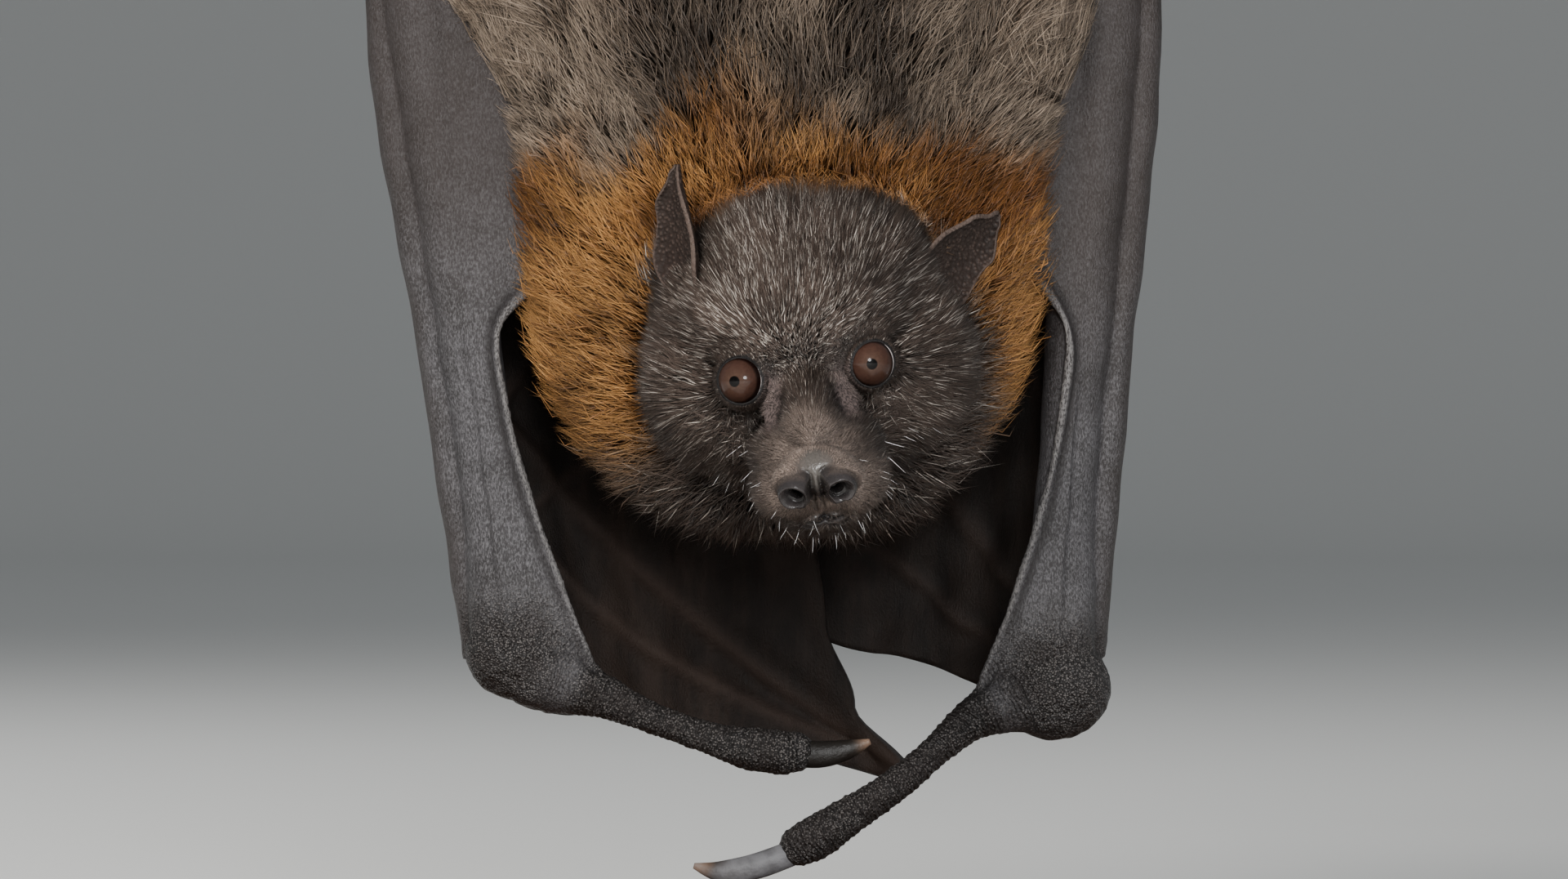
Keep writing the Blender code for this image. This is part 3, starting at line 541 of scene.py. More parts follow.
def markings(points):
    """What the coat is like at some places on the skin: numbers from 0 to 1 that skin and coat both read."""
    x, y, z = points.T
    head = in_head(points)
    wave = wobble(points, 160, 3)
    edge = 0.0235 + 0.0075 * step(0.016, 0.028, np.abs(head[:, 0]))
    behind = step(edge - 0.003 * (x > 0.02), edge + 0.0075, head[:, 1] + 0.0026 * wave[:, 0])
    below = step(0.185, 0.172, z + 0.0040 * wave[:, 1] + 0.10 * np.abs(x + 0.008))
    ring = np.hypot((x - 0.0060) / 0.0290, (z - 0.132) / 0.030) + 0.04 * wave[:, 0]
    behind *= 1 - step(1.08, 0.92, ring) * (y < 0.0)
    chest = step(0.124, 0.112, z + 0.0020 * wave[:, 2] + 0.35 * (np.abs(x) - 0.020))
    streak = wobble(points * (1.0, 1.0, 0.30), 190, 8)[:, 0]
    middle = np.exp(-(x / 0.030) ** 2) * step(0.166, 0.180, z) * step(0.240, 0.205, z)
    rust = step(0.146, 0.160, z - 0.10 * (np.abs(x) - 0.02) * (x > 0)) + 0.5 * wave[:, 2] - 0.1
    groove = np.exp(-(crease(points) / 0.0011) ** 2) * (head[:, 1] < 0.003)
    jaw = 0.60 * step(-0.0185, -0.0240, head[:, 2]) * (head[:, 1] < 0.014)
    above_chin = 1 - 0.6 * step(-0.017, -0.020, head[:, 2])
    return {
        "head": np.maximum((1 - behind) * (z < BACK_FROM), chest),
        "gold": behind * below * (1 - chest),
        "rust": np.clip(rust, 0, 1),
        "flesh": step(0.0050, 0.0012, trough(points)) * step(0.0004, 0.0018, crease(points)),
        "shadow": np.maximum(groove, jaw),
        "fuzz": step(0.0180, 0.0100, from_nose(points)) * (1 - behind) * above_chin,
        "dark": np.clip(middle * (0.60 + 0.55 * streak), 0, 1),
        "limb": step(0.312, 0.330, z)}


def coat_colour(look, along):
    """The colour of the coat by its markings; along runs from the root of a tuft to its tip."""
    props = bpy.context.scene.bat_colours

    def fur(root, middle, tip, turns=0.5):
        return look.ramp(along, (0.0, root), (turns, middle), (1.0, tip))

    tan = fur((0.020, 0.014, 0.010), (0.080, 0.058, 0.042), props.back_tip, 0.45)
    limb = fur((0.020, 0.015, 0.012), (0.070, 0.052, 0.040), (0.16, 0.125, 0.10))
    gold = fur((0.030, 0.012, 0.005), (0.140, 0.060, 0.018), props.mantle_tip, 0.45)
    rust = fur((0.025, 0.009, 0.004), (0.070, 0.026, 0.008), (0.200, 0.086, 0.025))
    fuzz = fur((0.055, 0.039, 0.032), (0.195, 0.150, 0.126), (0.440, 0.362, 0.315), 0.6)
    fuzz = look.mix(look.noise(2800.0).within(0.44, 0.56) * 0.60, fuzz, (0.052, 0.041, 0.035))
    grey = fur((0.008, 0.006, 0.005), (0.037, 0.027, 0.022), (0.096, 0.071, 0.058))
    silver = look.mix(along.within(0.30, 0.75) * look.noted("silver"), grey, props.silver_tip)
    colour = look.mix(look.noted("limb"), tan, limb)
    colour = look.mix(look.noted("dark") * 0.85, colour, (0.020, 0.014, 0.011))
    colour = look.mix(look.noted("gold"), colour, look.mix(look.noted("rust"), gold, rust))
    colour = look.mix(look.noted("head"), colour, silver)
    colour = look.mix(look.noted("fuzz"), colour, fuzz)
    flesh = look.ramp(along, (0.0, (0.040, 0.030, 0.028)), (1.0, (0.230, 0.180, 0.168)))
    colour = look.mix(look.noted("flesh") * 0.55, colour, flesh)
    colour = look.mix(look.noted("shadow") * 0.85, colour, (0.010, 0.007, 0.006))
    shade = look.noted("tone") * 1.1 + 0.45
    return look.node("ShaderNodeVectorMath", {"operation": "SCALE"}, {0: colour, "Scale": shade})


def make_coat_look():
    look = Look("bat_coat", Roughness=0.42, Specular_IOR_Level=0.55)
    return look.finish(colour=coat_colour(look, look.noted("along")))


def make_skin_look():
    """The furred body's skin: the coat's colours in shadow, bare grey hide on the nose, lips and lids, and
    painted shade in the face's hollows.
    """
    look = Look("bat_skin", Specular_IOR_Level=0.45)
    furry = coat_colour(look, look.noted("along"))
    pores = look.cells(2600.0)
    grain = look.noise(1500.0, 3.0, 0.6)
    hide = look.mix(look.noise(420.0, 3.0), (0.010, 0.009, 0.009), (0.036, 0.031, 0.031))
    flesh = look.mix(look.noise(1900.0, 3.0).within(0.40, 0.60), (0.024, 0.018, 0.017), (0.120, 0.090, 0.084))
    colour = look.mix(look.noted("patch") * 0.75, furry, flesh)
    hide = look.mix(look.noted("pad"), hide, look.mix(pores, (0.078, 0.070, 0.062), (0.050, 0.044, 0.040)))
    colour = look.mix(look.noted("bare"), colour, hide)
    # painted shade: the face's hollows are darkened almost to black
    colour = look.mix(look.noted("pit"), colour, (0.002, 0.0015, 0.0015))
    roughness = 0.76 - look.noted("bare") * 0.54 + grain * 0.12
    height = (pores * 0.6 + grain * 0.5) * (1 - look.noted("bare") * 0.65)
    return look.finish(colour, roughness, height, 0.00025, 0.7)


def make_wing_look():
    """Wing hide: fine-grained with pale specks painted as glints, pebbled on the wrist and thumb with the
    beads' tops painted as highlights, wrinkled across the thumb, with a painted highlight on the leading
    edge's rim, painted shade in the groove beside it, and painted shade inside the wrap.
    """
    props = bpy.context.scene.bat_colours
    look = Look("bat_wing_hide", Specular_IOR_Level=0.32)
    pebble, inside = look.noted("pebble"), look.noted("inside")
    fine = look.noise(3100.0, 3.0, 0.6, (1.0, 1.0, 0.45))
    broad = look.noise(130.0, 5.0, 0.6)
    cell = look.cells(2100.0)
    vein = look.noise(60.0, 8.0, 0.7, (1.0, 1.0, 0.22))
    hide = look.mix(broad.within(0.25, 0.75), props.wing_dark, props.wing_light)
    # painted highlight: pale specks on the grain stand in for glints
    hide = look.mix(fine.within(0.42, 0.80) * 0.55, hide, (0.205, 0.202, 0.212))
    hide = look.mix(fine.within(0.54, 0.34) * 0.60, hide, (0.016, 0.014, 0.014))
    # painted highlight: the beads' tops are painted pale
    beads = look.mix(cell.within(0.55, 0.05), (0.009, 0.008, 0.0075), (0.135, 0.124, 0.118))
    beads = look.mix(broad.within(0.60, 0.35) * 0.55, beads, (0.016, 0.012, 0.011))
    hide = look.mix(pebble * 0.92, hide, beads)
    hide = look.mix(look.noted("brown") * 0.78, hide, (0.025, 0.018, 0.015))
    # painted highlight: a pale line along the rim of the leading edge
    hide = look.mix(look.noted("rim") * fine.within(0.35, 0.60), hide, (0.165, 0.158, 0.155))
    # painted shade: a dark band in the groove just inboard of the rim
    hide = look.mix(look.noted("groove") * 0.85, hide, (0.012, 0.010, 0.010))
    # painted shade: the wrap's inner faces are painted near-black brown, its outer faces a third of the way
    inside_shade = look.mix(vein.within(0.40, 0.62), (0.0050, 0.0028, 0.0019), (0.0170, 0.0105, 0.0075))
    inside_shade = look.mix(look.noted("brown") * 1.6, inside_shade, (0.034, 0.022, 0.017))
    colour = look.mix(inside, hide, inside_shade)
    wrinkle = (look.noted("thumb") * 6400.0 + broad * 26.0).sine() * pebble
    height = fine * 0.95 * (1 - pebble) + (1 - cell) * pebble * 0.9 + wrinkle * 0.55 + vein * 0.25
    roughness = 0.42 + broad * 0.12 + inside * 0.16 - pebble * 0.10
    return look.finish(colour, roughness, height, 0.00036, 0.95)


def make_ear_look():
    look = Look("bat_ear_hide", Specular_IOR_Level=0.30)
    cell = look.cells(1150.0)
    rim = look.noted("rim")
    hide = look.mix(look.noise(300.0, 4.0), (0.008, 0.005, 0.004), (0.028, 0.018, 0.014))
    # painted highlight: the pebbles' tops are painted pale
    hide = look.mix(cell.within(0.5, 0.1) * 0.7, hide, (0.060, 0.041, 0.033))
    colour = look.mix(rim * 0.6, hide, (0.105, 0.076, 0.063))
    return look.finish(colour, 0.48 + cell * 0.3, (1 - cell) + look.noise(900.0, 3.0) * 0.4, 0.0004, 0.9)


def make_eye_look():
    """A red-brown iris, paler at its inner edge and dark at its rim, round a small pupil under a wet film."""
    look = Look("bat_eye", Roughness=0.35, Coat_Weight=0.6, Coat_IOR=1.34, Coat_Roughness=0.02,
                Specular_IOR_Level=0.05)
    spokes = look.noise(1400.0, 4.0, 0.6)
    pupil = (0.001, 0.0007, 0.0007)
    iris = look.ramp(look.noted("from_pupil"), (0.0, pupil), (0.120, pupil), (0.138, (0.050, 0.028, 0.020)),
                     (0.40, (0.036, 0.0175, 0.0125)), (0.60, (0.026, 0.0125, 0.009)))
    rim = look.ramp(look.noted("from_iris"), (0.0, (1.0, 1.0, 1.0)), (0.54, (1.0, 1.0, 1.0)),
                    (0.60, (0.16, 0.12, 0.12)), (0.68, (0.16, 0.12, 0.12)))
    iris = look.mix(1.0, iris, rim, "MULTIPLY")
    shade = spokes * 0.9 + 0.55
    iris = look.node("ShaderNodeVectorMath", {"operation": "SCALE"}, {0: iris, "Scale": shade})
    white = look.noted("from_iris").within(0.688, 0.704)
    return look.finish(look.mix(white, iris, (0.52, 0.47, 0.46)))


def make_claw_look():
    look = Look("bat_claw", Specular_IOR_Level=0.4)
    along = look.noted("along")
    streak = look.noise(260.0, 5.0, 0.6)
    light = look.noted("pale")
    horn = look.ramp(along, (0.0, (0.010, 0.009, 0.009)), (0.45, (0.023, 0.021, 0.021)),
                     (0.78, (0.022, 0.016, 0.012)), (0.95, (0.150, 0.095, 0.065)))
    # painted sheen: a claw with the pale mark is painted pale blue-grey, standing in for light on it
    pale = look.mix(light, (0.030, 0.026, 0.025), (0.125, 0.125, 0.133))
    share = streak.within(0.30, 0.70) * 0.45 + light * along.within(0.85, 0.6) * 0.4
    colour = look.mix(share, horn, pale)
    # every claw without the pale mark is darkened almost to black short of its tip
    darkened_nails = look.mix(along.within(0.95, 0.7) * 0.85, colour, (0.005, 0.004, 0.003))
    colour = look.mix(light, darkened_nails, colour)
    return look.finish(colour, 0.34 + streak * 0.25, streak + look.noise(1800.0, 2.0) * 0.4, 0.0003, 0.7)


def make_bark_look():
    look = Look("branch_bark", Specular_IOR_Level=0.3)
    stretch = (0.28, 1.0, 1.0)
    fibre = look.noise(260.0, 8.0, 0.65, stretch)
    patch = look.noise(38.0, 5.0, 0.6, (0.6, 1.0, 1.0))
    bark = look.mix(fibre.within(0.30, 0.70), (0.045, 0.031, 0.023), (0.190, 0.145, 0.110))
    bark = look.mix(patch.within(0.52, 0.72) * 0.7, bark, (0.250, 0.225, 0.190))
    ring = (look.noted("from_pith") * 5200.0 + patch * 5.0).sine() * 0.5 + 0.5
    cut = look.mix(ring, (0.230, 0.145, 0.080), (0.400, 0.285, 0.175))
    cut = look.mix(look.noted("from_pith").within(0.0108, 0.0122), cut, (0.070, 0.045, 0.030))
    sawn = look.noted("sawn")
    height = (fibre * 1.6 + look.noise(900.0, 4.0) * 0.5) * (1 - sawn * 0.85)
    return look.finish(look.mix(sawn, bark, cut), 0.82 - sawn * 0.12, height, 0.0006, 0.9)


def make_wood_look():
    look = Look("stand_wood", Coat_Weight=0.35, Coat_Roughness=0.18, Specular_IOR_Level=0.45)
    warp = look.noise(9.0, 4.0, 0.6, (0.35, 1.0, 1.0))
    grain = look.noise(210.0, 6.0, 0.65, (0.05, 1.0, 1.0))
    line = (warp * 46.0).sine() * 0.5 + 0.5
    wood = look.mix(line, (0.052, 0.024, 0.012), (0.105, 0.052, 0.026))
    wood = look.mix(grain.within(0.45, 0.75) * 0.55, wood, (0.026, 0.012, 0.007))
    return look.finish(wood, 0.36 + grain * 0.16, grain, 0.00015, 0.5)


def make_steel_look():
    look = Look("stand_steel", Metallic=1.0)
    brushed = look.noise(700.0, 4.0, 0.6, (1.0, 1.0, 0.03))
    colour = look.mix(brushed, (0.42, 0.42, 0.43), (0.60, 0.60, 0.61))
    return look.finish(colour, 0.24 + brushed * 0.16, brushed, 0.00005, 0.4)


LOOKS = {"coat": make_coat_look, "skin": make_skin_look, "wing": make_wing_look, "ear": make_ear_look,
         "eye": make_eye_look, "claw": make_claw_look, "bark": make_bark_look, "wood": make_wood_look,
         "steel": make_steel_look}
made_looks = {}


def look_of(name):
    """The named material, made when it is first asked for."""
    if name not in made_looks:
        made_looks[name] = LOOKS[name]()
    return made_looks[name]


# ---------------------------------------------------------------- the furred body
def body_forms(bare):
    """The body's overlapping forms, in the coat, or bare of it, as a bmesh."""
    bm = bmesh.new()
    for centre, radii, depth in HEAD_FORMS:
        blob(bm, centre, [r - depth * bare for r in radii], HEAD)
    coat = 0.0088 * bare
    tube(bm, [(x, y, z, max(w - coat, 0.004), max(d - coat, 0.004)) for x, y, z, w, d in through([
        (0.0, 0.000, 0.3215, 0.012, 0.010),
        (0.0, 0.000, 0.3140, 0.029, 0.024),
        (0.0, 0.001, 0.292, 0.038, 0.031),
        (0.0, 0.002, 0.255, 0.043, 0.035),
        (0.0, 0.001, 0.215, 0.049, 0.037),
        (0.0, -0.002, 0.180, 0.053, 0.036),
        (0.0, -0.005, 0.145, 0.053, 0.032),
        (0.0, -0.006, 0.118, 0.042, 0.026),
        (0.0, -0.006, 0.102, 0.022, 0.013)], 33)], sides=48)
    mantle = 0.0125 * bare
    ball(bm, (0, -0.007, 0.1415), (0.0560 - mantle, 0.0330 - mantle, 0.0455 - mantle))
    thin = 0.0042 * bare
    for side, sign in SIDES.items():
        elbow = ELBOW[side]
        tube(bm, [(x, y, z, w - thin, d - thin) for x, y, z, w, d in through([
            (sign * SHOULDER_X, -0.004, 0.178, 0.0150, 0.0180),
            (sign * 0.050, -0.003, 0.202, 0.0125, 0.0150),
            (elbow.x - sign * 0.013, 0.002, elbow.z - 0.014, 0.0095, 0.0110),
            (elbow.x, elbow.y, elbow.z, 0.0080, 0.0090),
            (elbow.x + sign * 0.002, elbow.y, elbow.z + 0.006, 0.0052, 0.0056)], 16)], sides=28)
        leg = through([
            (sign * HIP_X, 0.002, 0.296, 0.0170, 0.0180, 0.0040),
            (sign * 0.027, -0.001, 0.323, 0.0135, 0.0150, 0.0040),
            (sign * KNEE.x, KNEE.y, KNEE.z, 0.0098, 0.0108, 0.0032),
            (sign * 0.030, -0.0105, 0.374, 0.0074, 0.0078, 0.0022),
            (sign * ANKLE.x, ANKLE.y, ANKLE.z, 0.0048, 0.0045, 0.0003),
            (sign * 0.0215, -0.0155, 0.413, 0.0030, 0.0028, 0.0)], 26)
        tube(bm, [(x, y, z, w - fur * bare, d - fur * bare) for x, y, z, w, d, fur in leg], sides=28)
    return bm


def from_front(here):
    """Heights as they are seen from in front, for points in the head's frame."""
    return here[:, 1] * math.sin(HEAD_PITCH) + here[:, 2] * math.cos(HEAD_PITCH)


def lip_line(x):
    return -0.0203 + 0.0012 * np.exp(-(x / 0.0011) ** 2) + 0.0030 * step(0.0030, 0.0085, np.abs(x)) + 0.06 * x


def shape_face(points, normals):
    """Moves the skin's points for the lids, the grooves beside the bridge, the nostrils and the mouth, and
    says how bare or pink each point is, how much painted shade darkens it in the hollows, and which are on
    the nose's pad."""
    here, out = in_head(points), normals @ HEAD_TURN
    bare, patch, pit = np.zeros(len(here)), np.zeros(len(here)), np.zeros(len(here))
    full = step(-0.004, -0.011, here[:, 1]) * step(-0.031, -0.024, here[:, 1]) * step(0.0, -0.005, here[:, 2])
    here[:, 0] *= 1 + 0.06 * full
    x, y, z = here.T.copy()
    front = step(-0.018, -0.024, y)

    # the slit between the nostrils with a fine ridge along it, down over the lip, and the line of the mouth
    slit = step(-0.0060, -0.0088, z) * step(-0.0265, -0.0285, y) * step(-0.0192, -0.0178, z)
    beside = np.abs(np.abs(x - SLIT_X) - 0.0008)
    here -= out * (0.0010 * np.exp(-(beside / 0.00032) ** 2) * slit)[:, None]
    # painted shade: the slits beside the ridge are darkened
    pit = np.maximum(pit, np.exp(-(beside / 0.00026) ** 2) * slit * (0.35 + 0.5 * step(-0.0145, -0.0125, z)))
    lip = lip_line(x)
    mouth = np.exp(-((z - lip) / 0.00045) ** 2) * step(0.0105, 0.0085, np.abs(x)) * front
    here -= out * (0.0016 * mouth)[:, None]
    lobe = np.exp(-((z - lip - 0.0013) / 0.0010) ** 2 - ((np.abs(x) - 0.0022) / 0.0015) ** 2) * front
    here += out * (0.0010 * lobe)[:, None]
    # painted shade: the line of the mouth is darkened
    pit = np.maximum(pit, 0.9 * mouth)
    lips = np.exp(-((z - lip - 0.0007) / 0.0015) ** 2) * step(0.0052, 0.0034, np.abs(x)) * front
    philtrum = step(0.0026, 0.0014, np.abs(x - SLIT_X)) * step(-0.0245, -0.0270, y)
    bare = np.maximum.reduce([bare, lips, philtrum * front])
    off_pad = np.linalg.norm((np.array((x, y, z)).T - (0, -0.0300, -0.0070)) / (1.0, 1.0, 0.8), axis=1)
    bare = np.maximum(bare, step(0.0068, 0.0028, off_pad))
    pad = step(0.0070, 0.0030, off_pad)

    for sign in (-1, 1):
        # a nostril: a round rim about a deep opening that faces forwards and outwards
        axis = unit(np.array((sign * 0.42, -0.90, -0.05)))
        away = here - (nostril_x(sign), -0.0350, -0.0106)
        height = away @ axis
        off_ring = np.linalg.norm(away - height[:, None] * axis, axis=1)
        away -= (0, 0, 0.0005)
        off_hole = np.linalg.norm(away - (away @ axis)[:, None] * axis, axis=1)
        close = (height > -0.0050) * step(0.0005, 0.0016, sign * (x - SLIT_X))
        level = step(0.0046, 0.0030, off_ring) * close * 0.65
        here -= axis * (level * (height + 0.0002))[:, None]
        ring = np.exp(-((off_ring - 0.0027) / 0.00070) ** 2) * close
        moat = np.exp(-((off_ring - 0.0041) / 0.00050) ** 2) * close
        hole = step(0.0015, 0.0009, off_hole) * close
        bowl = step(0.0022, 0.0014, off_ring) * close
        here += axis * (0.0010 * ring - 0.0007 * moat - 0.0011 * bowl - 0.0024 * hole)[:, None]
        # painted shade: the opening, the moat round the rim and the bowl are darkened
        pit = np.maximum.reduce([pit, step(0.0015, 0.0010, off_hole) * close, 0.6 * moat, 0.5 * bowl])
        bare = np.maximum(bare, step(0.0042, 0.0034, off_ring) * close)
        pad *= 1 - step(0.0052, 0.0036, off_ring) * close

        # the groove from the eye's inner corner down beside the bridge, in a bare pinkish patch
        seen = np.stack([sign * here[:, 0], 0 * x, from_front(here)], 1)
        apart, place = to_line(seen, [(0.0046, 0, -0.0036), (0.0050, 0, -0.0060), (0.0062, 0, -0.0092)])
        ends = step(0.0, 0.25, place) * step(1.0, 0.75, place) * (here[:, 1] < 0.002)
        groove = np.exp(-(apart / 0.00075) ** 2) * ends
        hollow = np.exp(-(trough(from_head(here)) / 0.0020) ** 2) * (sign * x > 0)
        here -= out * (0.0010 * groove + 0.0005 * hollow)[:, None]
        patch = np.maximum(patch, step(0.0038, 0.0018, trough(from_head(here))))
        # painted shade: the groove is darkened
        pit = np.maximum(pit, 0.9 * groove)

        # lids that hug the eyeball, with a fold round them
        centre = eye_place(sign)
        reach = np.linalg.norm(here - centre, axis=1)
        angle = angle_to(here, centre, np.array(LIDS[sign]) @ HEAD_TURN)
        lid = (EYE_RADIUS + at([(0, -0.0014), (54, -0.0012), (58.5, 0.00020), (63, 0.00035), (74, 0.00010),
                                (88, 0.0005), (180, 0.0010)], angle))
        hold = step(112, 80, angle) * step(0.0125, 0.0095, reach)
        here += (here - centre) / reach[:, None] * (hold * (lid - reach))[:, None]
        close = reach < 0.010
        bare = np.maximum(bare, 0.4 * step(68, 62, angle) * close)
        # painted shade: the fold round the lid is darkened
        pit = np.maximum(pit, 0.9 * step(67, 61, angle) * close)
    return from_head(here), {"bare": bare, "patch": patch, "pit": pit, "pad": pad}


def crease(points):
    """The distance, as seen from in front, to the middle of the groove on each side of the bridge."""
    here = in_head(points)
    seen = np.stack([np.abs(here[:, 0]), 0 * here[:, 0], from_front(here)], 1)
    return to_line(seen, [(0.0046, 0, -0.0040), (0.0050, 0, -0.0060), (0.0060, 0, -0.0086)])[0]


def trough(points):
    """The distance, as seen from in front, to the bare patches beside the bridge of the nose."""
    here = in_head(points)
    seen = np.stack([np.abs(here[:, 0]), 0 * here[:, 0], from_front(here)], 1)
    apart, _ = to_line(seen, [(0.0076, 0, -0.0016), (0.0070, 0, -0.0044), (0.0078, 0, -0.0080)])
    return apart + 2 * np.maximum(here[:, 1] - 0.004, 0)


def lid_angle(points):
    """The angle off the middle of the nearer eye's opening."""
    here = in_head(points)
    angles = np.full(len(here), 180.0)
    for sign in (-1, 1):
        close = np.linalg.norm(here - eye_place(sign), axis=1) < 0.0090
        angles[close] = angle_to(here[close], eye_place(sign), np.array(LIDS[sign]) @ HEAD_TURN)
    return angles


def near_face(points):
    return (from_eyes(points) < 0.0115) | (from_nose(points) < 0.0165)


def near_nose(points):
    return (from_nose(points) < 0.0095) | (from_eyes(points) < 0.0078)


def at_nose(points):
    return (from_nose(points) < 0.0075) & (in_head(points)[:, 1] < -0.026)


def relaxed(mesh, share, rounds):
    """Draws each point towards the middle of its neighbours, by share(points), over and over."""
    points = points_of(mesh)
    ends = np.empty(len(mesh.edges) * 2, np.int32)
    mesh.edges.foreach_get("vertices", ends)
    one, two = ends[::2], ends[1::2]
    number = np.maximum(np.bincount(ends, minlength=len(points)), 1)
    pull = share(points)[:, None] * 0.6
    for _ in range(rounds):
        total = np.stack([np.bincount(one, points[two, k], len(points))
                          + np.bincount(two, points[one, k], len(points)) for k in range(3)], 1)
        points += (total / number[:, None] - points) * pull
    move_points(mesh, points)
    return mesh


def off_face(points):
    """1 well away from the eyes and the muzzle, where creases between the forms are smoothed out."""
    here = in_head(points)
    return (step(0.0075, 0.0130, from_eyes(points)) * step(0.020, 0.028, from_nose(points))
            * step(0.400, 0.385, points[:, 2]) * step(-0.012, 0.0, here[:, 1]))


def make_body_skin():
    mesh = melded(body_forms(bare=1.0), voxel=0.0007, rounds=4, triangles=62000)
    relaxed(mesh, off_face, 45)
    refined(mesh, near_face, 1)
    refined(mesh, near_nose, 1)
    refined(mesh, at_nose, 1)
    relaxed(mesh, near_face, 1)
    points, given = shape_face(points_of(mesh), normals_of(mesh))
    move_points(mesh, points)
    relaxed(mesh, lambda p: 1.0 * at_nose(p), 1)
    points = points_of(mesh)
    coated = melded(body_forms(bare=0.0), voxel=0.0014, rounds=7, triangles=30000)
    tree = BVHTree.FromPolygons([v.co for v in coated.vertices], [f.vertices for f in coated.polygons])
    depth = [(tree.ray_cast(Vector(p), Vector(n), 0.016)[3] or 0.0)
             for p, n in zip(points_of(mesh), normals_of(mesh))]
    marks = markings(points)
    note(mesh, depth=np.array(depth), along=np.full(len(points), 0.28), tone=np.full(len(points), 0.35),
         silver=np.zeros(len(points)), **marks, **given)
    nodes = ["head", "neck", "trunk"] + [f"{part}_{side}" for part in ("upper_arm", "thigh", "shank")
                                         for side in SIDES]
    return piece("body_skin", mesh, look_of("skin"), "head_coat", *nodes)


# ---------------------------------------------------------------- eyes and ears
def make_eye(side):
    """An eyeball that is turned to the way it looks, with the clear front standing a little proud."""
    sign = SIDES[side]
    way = Vector(IRIS[sign]).normalized()
    centre = Vector(from_head(eye_place(sign)))
    bm = bmesh.new()
    bmesh.ops.create_uvsphere(bm, u_segments=72, v_segments=56, radius=EYE_RADIUS)
    for vert in bm.verts:
        angle = math.acos(max(-1.0, min(1.0, vert.co.z / EYE_RADIUS)))
        vert.co *= 1 + 0.035 * max(0.0, 1 - (angle / 0.85) ** 2)
    bmesh.ops.transform(bm, verts=bm.verts[:],
                        matrix=Matrix.Translation(centre) @ way.to_track_quat("Z", "Y").to_matrix().to_4x4())
    mesh = solid(bm)
    points = points_of(mesh)
    corner = np.array((sign, 0.0, 0.28)) - np.array(way) * np.dot((sign, 0.0, 0.28), way)
    toward = np.clip(unit(points - np.array(centre)) @ unit(corner), 0, 1)
    from_iris = angle_to(points, centre, way) / 90 * (1 + OUTER_WHITE[sign] * toward ** 4)
    note(mesh, from_pupil=angle_to(points, centre, GAZE[sign]) / 90, from_iris=from_iris)
    return piece(f"eyeball_{side}", mesh, look_of("eye"), "eye", f"eye_{side}")


EAR_ROOTS = {"right": (-0.0195, -0.0480, 0.1490), "left": (0.0300, -0.0410, 0.1520)}
EAR_TIPS = {"right": (-0.0213, -0.0500, 0.1745), "left": (0.0435, -0.0310, 0.1655)}
EAR_OPENS = {"right": (-0.86, -0.50, 0.0), "left": (0.45, -0.80, -0.40)}


def make_ear(side):
    """A pointed leaf, cupped about its middle line, with a thickened pale rim."""
    tip = np.array(EAR_TIPS[side])
    axis = unit(tip - np.array(EAR_ROOTS[side]))
    face = np.array(EAR_OPENS[side])
    face = unit(face - axis * (face @ axis))
    across = np.cross(axis, face)
    root = tip - axis * EAR_LENGTH

    def leaf(u, v):
        spread = 2 * u - 1
        wide = EAR_WIDTH / 2 * at([(0, 0.62), (0.35, 1.0), (0.7, 0.72), (0.93, 0.22), (1, 0.04)], v)
        bend = 1.15 * spread
        curl = 0.0006 * np.sin(9 * v) * spread ** 2
        return (root + axis * (EAR_LENGTH * v)[..., None]
                + across * (wide * np.sin(bend) / math.sin(1.15))[..., None]
                + face * (wide * 0.8 * (1 - np.cos(bend)) - 0.003 * (1 - v) ** 2 + curl)[..., None])

    columns, rows = 30, 48
    spread = np.abs(np.linspace(-1, 1, columns + 1))[:, None] * np.ones(rows + 1)
    thickness = 0.0010 - 0.0003 * spread + 0.0002 * step(0.90, 0.98, spread)
    mesh = shell(leaf, columns, rows, thickness)
    attribute = mesh.attributes["across"].data
    sideways = np.empty(len(attribute), np.float32)
    attribute.foreach_get("value", sideways)
    note(mesh, rim=step(0.93, 0.99, np.abs(2 * sideways - 1)))
    return piece(f"ear_skin_{side}", mesh, look_of("ear"), "ear_skin", f"ear_{side}")


# ---------------------------------------------------------------- wings
def cloak_point(side, angle, height):
    """Points of the wing wrapped round the belly; angle is in degrees."""
    turn = np.radians(angle)
    deep = at(CLOAK_DEPTH, height) + LAYER[side] * np.sin(turn)
    middle = np.where(height < 0.300, 0.004, 0.004 - 0.012 * (height - 0.300) / 0.092)
    wide = at(CLOAK_WIDTH[side], height)
    return np.stack([SIDES[side] * wide * np.cos(turn), middle + deep * np.sin(turn), height + 0 * turn], -1)


def pleats(side, angle, height):
    """How far the wrapped wing stands out for its finger bones, and how much bone is under the hide."""
    place = np.stack([np.radians(angle) * 0.060, height, 0 * height], -1).reshape(-1, 3)
    bone, sway = np.zeros(len(place)), np.zeros(len(place))
    for k, line in enumerate(FINGER_LINES[side]):
        smooth = through([(math.radians(a) * 0.060, h, 0.0) for a, h in line], 24)
        apart, _ = to_line(place, smooth)
        bone = np.maximum(bone, np.exp(-(apart / (0.0017 - 0.0002 * k)) ** 2))
        sway += 0.0012 * np.exp(-(apart / 0.0065) ** 2)
    ripple = 0.0005 * np.sin(place[:, 1] * 330 + place[:, 0] * 260) + 0.0004 * np.sin(place[:, 0] * 520)
    return (sway + ripple).reshape(angle.shape), bone.reshape(angle.shape)


